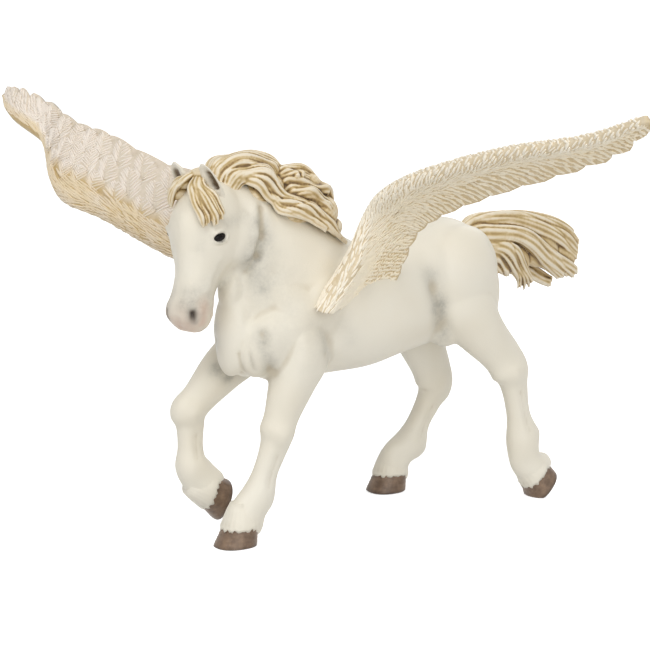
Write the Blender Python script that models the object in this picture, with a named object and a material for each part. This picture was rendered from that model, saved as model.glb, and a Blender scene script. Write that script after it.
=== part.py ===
"""Winged horse figurine, one solid moulding of painted plastic, in a walking pose with its wings spread.

Lengths below are in millimetres. X points where the horse walks, Y to its left, Z up.
The horse is drawn with its withers over the middle of the plan and the ground at height 0.
At the end it is moved so that the middle of its outline on the ground is the origin.
"""

import math

import bmesh
import bpy
import numpy as np

MM = 0.001

# Trunk
withers_height = 87.0
croup_height = 90.5
back_height = 84.5
girth_depth = 40.5
flank_depth = 34.0
breast_reach = 42.5
buttock_reach = 51.0
chest_width = 27.0
barrel_width = 35.0
hip_width = 34.0

# Neck, from the withers and breast up to the poll behind the ears
poll_forward = 49.0
poll_height = 106.0
poll_aside = 3.0
throat_drop = 17.0
throat_width = 12.5
neck_base_width = 24.0

# Head, measured along the face from the poll
head_length = 41.5
brow_width = 21.0
brow_depth = 27.0
muzzle_width = 13.0
muzzle_depth = 12.5
head_turn = math.radians(23)
head_nod = math.radians(14)
ear_length = 7.8
ear_width = 4.8
eye_width = 3.6
eye_share = 0.37
nostril_width = 1.7
nostril_share = 0.9

# Legs
knee_height = 32.5
hock_height = 42.0
forearm_depth = 18.5
knee_depth = 11.4
fore_cannon_depth = 7.5
thigh_depth = 26.0
gaskin_depth = 15.5
hock_depth = 13.6
hind_cannon_depth = 8.6
fetlock_depth = 10.8
pastern_depth = 9.4
hoof_length = 12.8
hoof_width = 11.5
hoof_height = 7.0

# Wings, each as far out from the middle of the chest as the span
wing_span = 126.5
wing_chord = 30.0
wing_thickness = 7.0
wing_edge = 1.3
wing_camber = 3.0
shoulder_turn = math.radians(14)
feather_count = 14
feather_step = 0.9
tip_notch = 3.6
inner_notch = 0.9
covert_share = 0.36
covert_step = 0.8

# Mane, forelock and tail
crest_lift = 8.0
mane_lock_width = 5.0
forelock_length = 17.0
tail_length = 55.0
tail_depth = 24.0
tail_lock_width = 5.4

# Fineness of the surface
body_voxel = 0.9
body_soften_count = 7
body_triangle_count = 4000
hair_voxel = 0.5
hair_soften_count = 1
mane_triangle_count = 1400
forelock_triangle_count = 400
tail_triangle_count = 1100


def smooth_rows(rows, steps):
    """Rows of numbers joined by a curve that passes through each of them."""
    rows = np.array(rows, float)
    padded = np.vstack([2 * rows[0] - rows[1], rows, 2 * rows[-1] - rows[-2]])
    found = []
    for before, start, end, after in zip(padded, padded[1:], padded[2:], padded[3:]):
        for t in np.arange(steps) / steps:
            square, cube = t * t, t * t * t
            found.append(
                0.5
                * (
                    2 * start
                    + (end - before) * t
                    + (2 * before - 5 * start + 4 * end - after) * square
                    + (3 * start - before - 3 * end + after) * cube
                )
            )
    found.append(rows[-1])
    return np.array(found)


def at_share(rows, share):
    """The row at a share of the way along rows, with straight runs between them."""
    rows = np.array(rows, float)
    places = np.linspace(0, 1, len(rows))
    return np.array([np.interp(share, places, column) for column in rows.T])


def unit(vector):
    return vector / max(np.linalg.norm(vector), 1e-9)


def material(name, colour, roughness):
    made = bpy.data.materials.new(name)
    made.use_nodes = True
    shader = made.node_tree.nodes["Principled BSDF"]
    shader.inputs["Base Color"].default_value = (*colour, 1)
    shader.inputs["Roughness"].default_value = roughness
    shader.inputs["Metallic"].default_value = 0
    return made


def mesh_object(name, points, faces, finish):
    mesh = bpy.data.meshes.new(name)
    mesh.from_pydata([tuple(np.array(point) * MM) for point in points], [], faces)
    mesh.materials.append(finish)
    work = bmesh.new()
    work.from_mesh(mesh)
    bmesh.ops.recalc_face_normals(work, faces=work.faces)
    work.to_mesh(mesh)
    work.free()
    made = bpy.data.objects.new(name, mesh)
    bpy.context.scene.collection.objects.link(made)
    return made


def loft(name, loops, finish, flat_ends=False):
    """A closed skin over loops of as many points each. Round ends close on a middle point, flat ones in strips."""
    sides = len(loops[0])
    points = [point for loop in loops for point in loop]
    faces = []
    for ring in range(len(loops) - 1):
        for side in range(sides):
            after = (side + 1) % sides
            low, high = ring * sides, (ring + 1) * sides
            faces.append((low + side, low + after, high + after, high + side))
    for ring in (0, len(loops) - 1):
        first = ring * sides
        if flat_ends:
            for side in range(sides // 2 - 1):
                across = sides - 1 - side
                faces.append((first + side, first + side + 1, first + across - 1, first + across))
        else:
            middle = len(points)
            points.append(np.mean(loops[ring], axis=0))
            faces.extend((first + side, first + (side + 1) % sides, middle) for side in range(sides))
    return mesh_object(name, points, faces, finish)


def oval(centre, fore, aft, aside, sides, square=1.0):
    """A loop round a centre: a vector to its front, how deep it is behind, and a vector to its side."""
    loop = []
    for turn in np.arange(sides) * math.tau / sides:
        ahead, across = math.cos(turn), math.sin(turn)
        ahead = math.copysign(abs(ahead) ** square, ahead)
        across = math.copysign(abs(across) ** square, across)
        reach = fore if ahead > 0 else -aft
        loop.append(centre + ahead * reach + across * aside)
    return loop


def profile_form(name, stations, finish, steps=4, sides=20, square=0.9):
    """A form drawn in side view. Each station has its upper x and z, its lower x and z, its y and its width."""
    loops = []
    for up_x, up_z, low_x, low_z, y, width in smooth_rows(stations, steps):
        upper, lower = np.array((up_x, y, up_z)), np.array((low_x, y, low_z))
        centre = (upper + lower) / 2
        half = (upper - lower) / 2
        loops.append(oval(centre, half, -half, np.array((0, max(width, 0.4) / 2, 0)), sides, square))
    return loft(name, loops, finish)


def limb_form(name, stations, finish, steps=4, sides=14):
    """A limb along a path. Each station has its place, its depth ahead, its depth behind and its width."""
    rows = smooth_rows(stations, steps)
    loops = []
    for index, row in enumerate(rows):
        path = unit(rows[min(index + 1, len(rows) - 1)][:3] - rows[max(index - 1, 0)][:3])
        aside = unit(np.cross(path, (1, 0, 0)))
        ahead = unit(np.cross(aside, path))
        ahead = ahead if ahead[0] > 0 else -ahead
        aside = np.cross(ahead, path)
        loops.append(oval(row[:3], ahead * row[3], -ahead * row[4], aside * row[5] / 2, sides))
    return loft(name, loops, finish)


def lump(name, centre, radii, pitch, finish, sides=20):
    """A muscle or an eyeball as an egg, pitched about the Y axis."""
    work = bmesh.new()
    bmesh.ops.create_uvsphere(work, u_segments=sides, v_segments=sides // 2, radius=1)
    points = np.array([vertex.co for vertex in work.verts]) * radii
    faces = [[vertex.index for vertex in face.verts] for face in work.faces]
    work.free()
    cos, sin = math.cos(pitch), math.sin(pitch)
    turned = np.column_stack(
        [points[:, 0] * cos + points[:, 2] * sin, points[:, 1], points[:, 2] * cos - points[:, 0] * sin]
    )
    return mesh_object(name, turned + np.array(centre), faces, finish)


def lock_form(name, path, widths, flat, finish, sides=6):
    """A lock of hair: a strip of oval section along a path, its broad side turned along flat."""
    rows = smooth_rows([(*place, width) for place, width in zip(path, widths)], 2)
    loops = []
    for index, row in enumerate(rows):
        along = unit(rows[min(index + 1, len(rows) - 1)][:3] - rows[max(index - 1, 0)][:3])
        broad = unit(flat - along * np.dot(flat, along))
        thin = np.cross(along, broad)
        half = max(row[3], 0.5) / 2
        loops.append(oval(row[:3], broad * half, -broad * half, thin * half * 0.62, sides))
    return loft(name, loops, finish)


def trunk_and_neck(finish):
    belly = withers_height - girth_depth
    flank = croup_height - flank_depth
    throat_height = poll_height - throat_drop
    trunk = [
        (-buttock_reach + 0.5, croup_height - 15, -buttock_reach, flank + 6, 1.5, hip_width * 0.35),
        (-buttock_reach + 5, croup_height - 6, -buttock_reach + 2, flank, 1.2, hip_width * 0.8),
        (-buttock_reach + 13, croup_height, -buttock_reach + 13, flank - 3, 0.5, hip_width),
        (-buttock_reach + 25, croup_height - 1, -buttock_reach + 25, flank - 5, 0, hip_width * 0.98),
        (-14, back_height + 1, -15, belly + 3, 0, barrel_width),
        (-3, back_height + 1, -4, belly + 0.5, 0, barrel_width),
        (7, withers_height, 8, belly, 0.2, barrel_width * 0.94),
        (17, withers_height - 3, 20, belly, 0.8, chest_width * 1.08),
        (27, withers_height - 11, 31, belly + 0.5, 1.8, chest_width * 1.04),
        (36, withers_height - 17, 38, belly + 4, 2.8, chest_width * 0.9),
        (breast_reach, withers_height - 22, breast_reach, belly + 11, 3.4, chest_width * 0.42),
    ]
    neck = [
        (-4, back_height, breast_reach - 8, belly + 8, 0.6, neck_base_width),
        (5, withers_height + 2, breast_reach, belly + 19, 1.6, neck_base_width * 0.92),
        (14, withers_height + 7.5, breast_reach + 0.5, belly + 30, 2.2, neck_base_width * 0.76),
        (poll_forward - 21, poll_height - 4, poll_forward - 5, throat_height - 7, 2.6, throat_width * 1.16),
        (poll_forward - 10, poll_height + 1, poll_forward - 5, throat_height, poll_aside, throat_width),
        (poll_forward - 1, poll_height + 1, poll_forward + 2, throat_height + 2, poll_aside, throat_width * 0.94),
    ]
    return [
        profile_form("trunk", trunk, finish, sides=28),
        profile_form("neck", neck, finish, sides=24, square=0.95),
    ]


def head_place(along, ahead, aside):
    """A place on the head: along the face from the poll, ahead of the line through it, and to the left."""
    down = np.array((math.sin(head_nod), 0, -math.cos(head_nod)))
    front = np.array((math.cos(head_nod), 0, math.sin(head_nod)))
    local = down * along + front * ahead + np.array((0, aside, 0))
    cos, sin = math.cos(head_turn), math.sin(head_turn)
    turned = np.array((local[0] * cos - local[1] * sin, local[0] * sin + local[1] * cos, local[2]))
    return turned + np.array((poll_forward + 2, poll_aside, poll_height))


def head_form(finish):
    """Loops across the head. Each row has its share of the length, its front, back and width, and its lean aside."""
    rows = [
        (-0.05, 0.05, -0.22, brow_width * 0.45, 0),
        (0.03, 0.14, -0.42, brow_width * 0.76, 0),
        (0.16, 0.24, -0.70, brow_width * 0.92, -0.5),
        (0.30, 0.27, -0.74, brow_width, -0.7),
        (0.44, 0.22, -0.66, brow_width * 0.86, -0.6),
        (0.58, 0.16, -0.46, brow_width * 0.62, -0.4),
        (0.72, 0.13, -0.34, muzzle_width * 0.94, -0.6),
        (0.86, 0.15, -0.32, muzzle_width * 1.04, -1.0),
        (0.95, 0.09, -0.30, muzzle_width * 0.90, -1.0),
        (1.01, -0.04, -0.22, muzzle_width * 0.5, -1.0),
    ]
    loops = []
    for share, front, back, width, lean in smooth_rows(rows, 3):
        depth = brow_depth + (muzzle_depth / 0.46 - brow_depth) * min(max((share - 0.5) / 0.35, 0), 1)
        ahead, behind = front * depth, back * depth
        centre = head_place(head_length * share, (ahead + behind) / 2, lean)
        fore = head_place(head_length * share, ahead, lean) - centre
        aside = head_place(head_length * share, (ahead + behind) / 2, lean + width / 2) - centre
        loops.append(oval(centre, fore, -fore, aside, 20, 0.92))
    return loft("head", loops, finish)


def leg_form(name, joints, girths, finish):
    """A leg through its joints, with its depths between them. The last joint is the top of the hoof."""
    top = np.array(joints[0], float)
    inside = top + np.array((-1.5, -0.45 * top[1], 10))
    places = [inside]
    for start, end, shares in zip(joints, joints[1:], ((0, 0.4, 0.8), (0, 0.22, 0.65), (0, 0.55))):
        start, end = np.array(start, float), np.array(end, float)
        places.extend(start + (end - start) * share for share in shares)
    coronet = np.array(joints[-1], float)
    places.append(coronet)
    stations = [(*place, *girth) for place, girth in zip(places, [girths[0], *girths])]
    into_hoof = coronet + unit(coronet - places[-2]) * hoof_height * 0.4
    stations.append((*into_hoof, *(0.8 * np.array(girths[-1]))))
    return limb_form(name, stations, finish)


def fore_girths():
    """Depth ahead, depth behind and width at each place down a foreleg."""
    return [
        (forearm_depth * 0.28, forearm_depth * 0.62, forearm_depth * 0.74),
        (forearm_depth * 0.32, forearm_depth * 0.46, forearm_depth * 0.66),
        (knee_depth * 0.48, knee_depth * 0.50, knee_depth * 0.80),
        (knee_depth * 0.52, knee_depth * 0.46, knee_depth * 0.86),
        (fore_cannon_depth * 0.50, fore_cannon_depth * 0.58, fore_cannon_depth * 0.86),
        (fore_cannon_depth * 0.48, fore_cannon_depth * 0.52, fore_cannon_depth * 0.82),
        (fetlock_depth * 0.46, fetlock_depth * 0.56, fetlock_depth * 0.86),
        (pastern_depth * 0.60, pastern_depth * 0.58, pastern_depth * 0.92),
        (hoof_length * 0.41, hoof_length * 0.53, hoof_width * 0.84),
    ]


def hind_girths():
    return [
        (thigh_depth * 0.46, thigh_depth * 0.44, thigh_depth * 0.56),
        (gaskin_depth * 0.60, gaskin_depth * 0.48, gaskin_depth * 0.84),
        (hock_depth * 0.44, hock_depth * 0.58, hock_depth * 0.66),
        (hock_depth * 0.46, hock_depth * 0.54, hock_depth * 0.68),
        (hind_cannon_depth * 0.42, hind_cannon_depth * 0.70, hind_cannon_depth * 0.84),
        (hind_cannon_depth * 0.42, hind_cannon_depth * 0.52, hind_cannon_depth * 0.80),
        (fetlock_depth * 0.52, fetlock_depth * 0.60, fetlock_depth * 0.88),
        (pastern_depth * 0.76, pastern_depth * 0.38, pastern_depth * 0.94),
        (hoof_length * 0.48, hoof_length * 0.52, hoof_width * 0.86),
    ]


# Joints of each leg from the body down to the coronet, and the pitch of the sole
legs = {
    "left_fore": (
        [(25.5, 11.5, 56), (31.5, 10.5, knee_height), (37.8, 9.2, 14.5), (43, 9, hoof_height - 0.5)],
        0.0,
    ),
    "right_fore": (
        [(32, -10, 57), (49, -12, knee_height + 4), (48.6, -12, 20), (43.5, -12, 12.5)],
        1.22,
    ),
    "left_hind": (
        [(-36, 11, 66), (-52, 14, hock_height), (-57.9, 14, 19.5), (-62.5, 14, 9)],
        0.85,
    ),
    "right_hind": (
        [(-33, -11, 62), (-43.3, -14.5, hock_height - 8.5), (-35, -16, 15), (-29, -17, hoof_height)],
        0.0,
    ),
}


def hoof_form(name, coronet, pitch, finish):
    """A hoof, slanted ahead and flared to the ground. Its sole is level at pitch 0 and turned back above it."""
    cos, sin = math.cos(pitch), math.sin(pitch)
    down = np.array((-sin, 0, -cos))
    ahead = np.array((cos, 0, -sin))
    rings = [(-0.12, 0.0, 0.72), (0.0, 0.0, 0.80), (0.5, 0.08, 0.90), (0.93, 0.15, 1.0), (1.1, 0.16, 0.97)]
    loops = []
    for share, slant, spread in rings:
        centre = np.array(coronet) + down * hoof_height * share + ahead * hoof_length * slant
        fore = ahead * hoof_length * 0.54 * spread
        aft = -ahead * hoof_length * 0.46 * spread
        loops.append(oval(centre, fore, aft, np.array((0, hoof_width * spread / 2, 0)), 16, 0.86))
    return loft(name, loops, finish)


def wing_point(side, out, forward, up):
    """A place on a wing, measured from the middle of the chest along lines turned with the shoulders."""
    cos, sin = math.cos(shoulder_turn), math.sin(shoulder_turn)
    across = out * side
    return np.array((forward * cos - across * sin, forward * sin + across * cos, withers_height + up))


# Leading edge of each wing from the root: share of the span, forward and up from the withers
wing_leads = {
    "left_wing": [
        (0.10, 26, -18), (0.135, 19.5, -5), (0.165, 15.5, 10), (0.24, 18, 18),
        (0.38, 20.5, 25), (0.60, 23, 32.5), (0.82, 26, 37.5), (1.0, 30, 44.5),
    ],
    "right_wing": [
        (0.09, 22, -15), (0.16, 33, -9), (0.27, 40, -5.7), (0.50, 44, 4.2),
        (0.64, 46, 9.5), (0.77, 34.5, 22), (0.90, 36.5, 31.5), (1.0, 30, 37.5),
    ],
}
# From the leading to the trailing edge in shares of the chord: out, forward and up
wing_chords = {
    "left_wing": [
        (0.0, -1.0, 0.0), (0.10, -0.72, -0.04), (0.33, -0.42, -0.17), (0.40, -0.42, -0.217),
        (0.46, -0.42, -0.207), (0.34, -0.43, -0.20), (0.15, -0.32, -0.12), (0.0, -0.12, -0.05),
    ],
    "right_wing": [
        (0.0, -0.95, 0.35), (0.13, -0.70, 0.72), (0.40, -0.33, 0.89), (0.30, -0.42, 0.81),
        (0.20, -0.45, 0.73), (0.23, -0.12, 0.52), (0.05, -0.13, 0.29), (0.0, -0.06, 0.10),
    ],
}


def wing_form(name, finish):
    """A wing: a thick arm along the front, thinning back to feathers that lie over each other and end in lobes."""
    side = 1 if name == "left_wing" else -1
    lead_rows = smooth_rows(wing_leads[name], 8)
    chord_rows = smooth_rows(wing_chords[name], 8)
    rows_ahead = np.array((0.0, 0.05, 0.16, covert_share - 0.02, covert_share + 0.03, 0.55, 0.78, 0.93, 1.0))
    loops = []
    for feather in range(feather_count):
        for part in (0.02, 0.5, 0.98):
            share = (feather + part) / feather_count
            lead = at_share(lead_rows, share)
            chord = at_share(chord_rows, share) * wing_chord
            start = wing_point(side, lead[0] * wing_span, lead[1], lead[2])
            end = wing_point(side, lead[0] * wing_span + chord[0], lead[1] + chord[1], lead[2] + chord[2])
            near = at_share(lead_rows, min(share + 0.02, 1)) - at_share(lead_rows, max(share - 0.02, 0))
            along = wing_point(side, near[0] * wing_span, near[1], near[2]) - wing_point(side, 0, 0, 0)
            length = np.linalg.norm(end - start)
            over = unit(np.cross(along, end - start)) * side
            notch = inner_notch + (tip_notch - inner_notch) * max(share - 0.6, 0) / 0.4
            lobe = min(notch, length * 0.3) * (math.sin(math.pi * part) ** 0.6 - 0.5)
            thick = wing_edge + (wing_thickness - wing_edge) * (1 - share) ** 0.8
            upper, lower = [], []
            for row in rows_ahead:
                reach = row * length + lobe * max(row - covert_share, 0) / (1 - covert_share)
                middle = start + unit(end - start) * reach + over * wing_camber * 4 * row * (1 - row) * (1 - share)
                body = thick * min(row / 0.12, 1) ** 0.5 * max(1 - row, 0) ** 0.8 / 2
                half = max(body, wing_edge / 2 * min(row / 0.05 + 0.3, 1))
                laid = feather_step * (part - 0.5) * min(max(row - covert_share, 0) / 0.2, 1)
                shelf = covert_step * (0.7 + 0.3 * math.sin(math.pi * part)) if row < covert_share else 0
                shelf *= min(row / 0.1, 1)
                upper.append(middle + over * (half + laid * 0.5 + shelf * 0.5))
                lower.append(middle - over * (half - laid * 0.5 + shelf * 0.5))
            loops.append(upper + lower[::-1])
    return loft(name, loops, finish, flat_ends=True)


def crest_place(share):
    """A place on the top of the neck, from the poll at 0 to the withers at 1."""
    line = [
        (poll_forward - 1, poll_aside, poll_height + 1),
        (poll_forward - 10, poll_aside, poll_height + 1),
        (poll_forward - 21, 2.6, poll_height - 4),
        (14, 2.2, withers_height + 7.5),
        (5, 1.6, withers_height + 2),
        (-2, 1, withers_height - 1),
    ]
    return at_share(smooth_rows(line, 4), share)


def billow(share):
    """How high the mane stands at a share of the crest, against the height of its first billow."""
    return np.interp(share, (0.0, 0.15, 0.3, 0.45, 0.6, 0.8), (0.8, 1.25, 0.88, 1.15, 0.1, -0.3))


def mane_heart(finish):
    """The solid middle of the mane, which its locks lie on."""
    stations = []
    rows = ((0.02, 0.1), (0.14, 0.6), (0.28, 1.0), (0.42, 0.8), (0.56, 0.9), (0.66, 0.4), (0.78, -0.3))
    for share, height in rows:
        place = crest_place(share)
        top = place[2] + crest_lift * height
        stations.append((place[0], top, place[0] - 2, place[2] - 3, place[1], mane_lock_width * 0.9))
    return profile_form("mane_heart", stations, finish)


def mane_locks(finish):
    """Locks rooted along the crest, blown back in two billows, and lying down the left side in waves."""
    locks = [mane_heart(finish)]
    for layer, (aside, lift, count) in enumerate(((1.6, 1.0, 6), (-1.8, 0.7, 5), (4.6, 0.25, 6))):
        for index in range(count):
            root = (index + 0.3 * layer) / (count + 0.8)
            sweep = 0.34
            path = []
            for step in range(6):
                share = step / 5
                place = crest_place(min(root + sweep * share, 1))
                rise = crest_lift * lift * billow(root) * math.sin(math.pi * min(share * 1.15, 1) * 0.9)
                wave = 1.1 * math.sin(share * 7 + index * 1.7 + layer)
                fall = (1 - lift) * 5.5 * share
                spread = aside + wave * 0.6 + fall * 0.35 * np.sign(aside)
                path.append(place + np.array((0, spread, rise - fall + wave)))
            widths = [mane_lock_width * w * (1 - 0.35 * root) for w in (0.9, 1.25, 1.3, 1.15, 0.85, 0.3)]
            flat = np.array((0.2, 0.35 if lift > 0.5 else 1.0, 1.0))
            locks.append(lock_form(f"mane_lock_{layer}_{index}", path, widths, flat, finish))
    return locks


def forelock_locks(finish):
    locks = []
    rows = ((-3.4, 0.62, -3.2), (-1.2, 0.8, -1.0), (1.4, 1.0, 2.0), (3.2, 0.9, 4.2))
    for index, (aside, reach, lean) in enumerate(rows):
        path = []
        for step in range(5):
            share = step / 4
            along = -1.5 + forelock_length * reach * share
            ahead = 1.5 + 5.6 * math.sin(min(share * 1.4, 1) * math.pi / 2) - 1.4 * share
            path.append(head_place(along, ahead, aside * (1 - share) + (aside + lean) * share))
        widths = [4.4, 5.0, 4.6, 3.6, 1.0]
        locks.append(lock_form(f"forelock_{index}", path, widths, np.array((0.2, 1.0, 0.2)), finish))
    return locks


def tail_place(fan, share):
    """A place in the middle of the tail: from its top to its bottom edge, and from the dock to the tips."""
    dock = np.array((-buttock_reach + 8, 0.6, croup_height - 5))
    back = tail_length * (0.98 - 0.34 * fan**3) * share
    rise = 3.8 * math.sin(share * math.pi * 0.75) - (7.5 + 6.5 * math.sin(math.pi * fan)) * share**2
    drop = tail_depth * 0.80 * fan * min(share * 1.9, 1) ** 0.9 - 3.0 * fan
    return dock + np.array((-back, -7 * share, rise - drop))


def tail_heart(finish):
    """The solid middle of the tail, which its locks lie on."""
    stations = []
    for share in (0.1, 0.25, 0.45, 0.65, 0.82):
        top, bottom = tail_place(0.0, share), tail_place(1.0, share)
        stations.append((top[0], top[2], bottom[0], bottom[2], top[1], tail_lock_width * 0.7))
    return profile_form("tail_heart", stations, finish)


def tail_locks(finish):
    """A fan of locks from the dock, arched over and falling at the end."""
    locks = [tail_heart(finish)]
    for index in range(11):
        aside = (-1.9, 1.9, 0.0)[index % 3]
        path = []
        for step in range(6):
            share = step / 5
            path.append(tail_place(index / 10, share) + np.array((0, aside * min(share * 3, 1), 0)))
        widths = [tail_lock_width * w for w in (0.9, 1.0, 1.1, 1.05, 0.95, 0.35)]
        locks.append(lock_form(f"tail_lock_{index}", path, widths, np.array((0, 0.3, 1.0)), finish))
    return locks


def ear_form(name, side, finish):
    """An ear: a leaf standing on the head, cupped towards the front and outwards."""
    rows = (
        (-0.25, 0.6, 0.9), (0.0, 0.75, 0.9), (0.3, 1.0, 0.8), (0.6, 0.86, 0.6), (0.85, 0.5, 0.4), (1.0, 0.12, 0.1),
    )
    loops = []
    for share, spread, depth in rows:
        loop = []
        for step in range(12):
            turn = step * math.tau / 12
            ahead = math.cos(turn)
            cup = 0.55 if ahead > 0.4 and 0.05 < share < 0.9 else 1.0
            reach = ear_width * 0.36 * depth * ahead * (cup if ahead > 0 else 1)
            across = ear_width / 2 * spread * math.sin(turn)
            outward = side * (5.6 - 0.7 * share)
            loop.append(head_place(1.5 - ear_length * share * 0.94, 1.2 + 7.8 * share + reach, outward + across))
        loops.append(loop)
    return loft(name, loops, finish)


def eye_form(name, side, finish):
    """An eyeball, bulging from the side of the brow."""
    centre = head_place(head_length * eye_share, 1.2, side * (brow_width * 0.5 - 2.3) - 0.7)
    return lump(name, centre, (eye_width * 0.5, eye_width * 0.42, eye_width * 0.42), 0, finish, 10)


def nostril_cutter(name, side, finish):
    """An egg that presses a nostril into the side of the muzzle."""
    centre = head_place(head_length * nostril_share, muzzle_depth * 0.18, side * muzzle_width * 0.42 - 1.0)
    return lump(name, centre, (nostril_width * 0.6, nostril_width * 0.6, nostril_width), -head_nod, finish, 8)


def join(objects, name):
    """Several meshes as one object."""
    work = bmesh.new()
    for made in objects:
        work.from_mesh(made.data)
    mesh = bpy.data.meshes.new(name)
    work.to_mesh(mesh)
    work.free()
    mesh.materials.append(objects[0].data.materials[0])
    for made in objects:
        bpy.data.objects.remove(made)
    joined = bpy.data.objects.new(name, mesh)
    bpy.context.scene.collection.objects.link(joined)
    return joined


def evaluated_mesh(made):
    graph = bpy.context.evaluated_depsgraph_get()
    return bpy.data.meshes.new_from_object(made.evaluated_get(graph))


def melted(forms, name, voxel, soften_count, triangle_count):
    """Forms that overlap, melted into one skin, softened where they meet, and left with few enough triangles."""
    whole = join(forms, name)
    remesh = whole.modifiers.new("melt", "REMESH")
    remesh.mode = "VOXEL"
    remesh.voxel_size = voxel * MM
    soften = whole.modifiers.new("soften", "SMOOTH")
    soften.factor = 0.5
    soften.iterations = soften_count
    fine = evaluated_mesh(whole)
    fine.calc_loop_triangles()
    reduce = whole.modifiers.new("reduce", "DECIMATE")
    reduce.ratio = min(triangle_count / len(fine.loop_triangles), 1)
    bpy.data.meshes.remove(fine)
    return whole


def muscles(finish):
    """The muscles that bulge from the trunk, and the cheeks. Each has its centre, its radii and its pitch."""
    chest, hip = chest_width / 2, hip_width / 2
    shoulder_top, breast_top = withers_height - 0.54 * girth_depth, withers_height - 0.73 * girth_depth
    haunch_top, stifle_top = croup_height - 0.53 * flank_depth, croup_height - 0.91 * flank_depth
    rows = [
        ("shoulder", 0.54 * breast_reach, 1.5, 0.56 * chest, shoulder_top, (8.5, 6.5, 15), 0.55),
        ("breast", 0.85 * breast_reach, 2.8, 0.39 * chest, breast_top, (7.5, 6, 9), -0.2),
        ("haunch", -0.69 * buttock_reach, 0.8, 0.5 * hip, haunch_top, (14.5, 9, 17), -0.3),
        ("stifle", -0.57 * buttock_reach, 0.0, 0.62 * hip, stifle_top, (6.5, 4.5, 8), 0.2),
    ]
    forms = []
    for side in (1, -1):
        for name, forward, middle, aside, height, radii, pitch in rows:
            forms.append(lump(name, (forward, middle + side * aside, height), radii, pitch, finish))
        cheek = head_place(0.3 * head_length, -0.39 * brow_depth, side * 0.24 * brow_width)
        forms.append(lump("cheek", cheek, (7.5, 4.2, 8.5), 0, finish))
    return forms


def body_form(finish):
    """Trunk, neck, head and legs as one skin, as a clay body would be."""
    forms = trunk_and_neck(finish)
    forms.append(head_form(finish))
    for name, (joints, _) in legs.items():
        girths = fore_girths() if name.endswith("fore") else hind_girths()
        forms.append(leg_form(name, joints, girths, finish))
    forms.extend(muscles(finish))
    return melted(forms, "pegasus", body_voxel, body_soften_count, body_triangle_count)


def helper(made, group):
    """A form that only joins or cuts: out of the render, drawn as wires, and kept in the group."""
    bpy.context.scene.collection.objects.unlink(made)
    group.objects.link(made)
    made.hide_render = True
    made.display_type = "WIRE"


def helper_group(name, forms):
    group = bpy.data.collections.new(name)
    bpy.context.scene.collection.children.link(group)
    for made in forms:
        helper(made, group)
    return group


def combine(body, operation, group):
    change = body.modifiers.new(group.name, "BOOLEAN")
    change.operation = operation
    change.operand_type = "COLLECTION"
    change.collection = group
    change.solver = "EXACT"


def ground_cutter(finish):
    """A slab under the ground, which trims the soles level."""
    reach, depth = 200.0, 30.0
    corners = [(-reach, -reach), (reach, -reach), (reach, reach), (-reach, reach)]
    return loft("ground", [[(x, y, z) for x, y in corners] for z in (-depth, 0)], finish)


def main():
    for old in list(bpy.data.objects):
        bpy.data.objects.remove(old)
    skin = material("body_paint", (0.80, 0.76, 0.68), 0.55)
    feather = material("wing_paint", (0.76, 0.68, 0.54), 0.6)
    hair = material("hair_paint", (0.72, 0.60, 0.40), 0.6)
    horn = material("hoof_paint", (0.16, 0.09, 0.06), 0.5)

    body = body_form(skin)
    added = [hoof_form(name + "_hoof", joints[-1], pitch, horn) for name, (joints, pitch) in legs.items()]
    added += [ear_form("left_ear", 1, skin), ear_form("right_ear", -1, skin)]
    added += [wing_form("left_wing", feather), wing_form("right_wing", feather)]
    added += [
        melted(mane_locks(hair), "mane", hair_voxel, hair_soften_count, mane_triangle_count),
        melted(forelock_locks(hair), "forelock", hair_voxel, hair_soften_count, forelock_triangle_count),
        melted(tail_locks(hair), "tail", hair_voxel, hair_soften_count, tail_triangle_count),
    ]
    added += [eye_form("left_eye", 1, skin), eye_form("right_eye", -1, skin)]
    cut = [ground_cutter(horn), nostril_cutter("left_nostril", 1, horn), nostril_cutter("right_nostril", -1, horn)]
    combine(body, "UNION", helper_group("added_forms", added))
    combine(body, "DIFFERENCE", helper_group("trimming", cut))

    whole = evaluated_mesh(body)
    places = np.array([vertex.co for vertex in whole.vertices])
    low, high = places.min(axis=0), places.max(axis=0)
    body.location = (-(low[0] + high[0]) / 2, -(low[1] + high[1]) / 2, 0)
    bpy.data.meshes.remove(whole)
    for group in bpy.data.collections:
        for made in group.objects:
            if made.hide_render:
                made.location = body.location


main()
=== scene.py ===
"""Looks of the winged horse figurine.

It is a matt cream moulding with sculpted feathers, waved hair and brown hooves. Lengths are in millimetres
until a mesh is made. X points where the horse walks, Y to its left, Z up. The horse is drawn with its withers
over the middle of the plan, and each mesh is then moved onto the solid model.
"""

import math

import bmesh
import bpy
import numpy as np
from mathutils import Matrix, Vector
from mathutils.bvhtree import BVHTree


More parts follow.
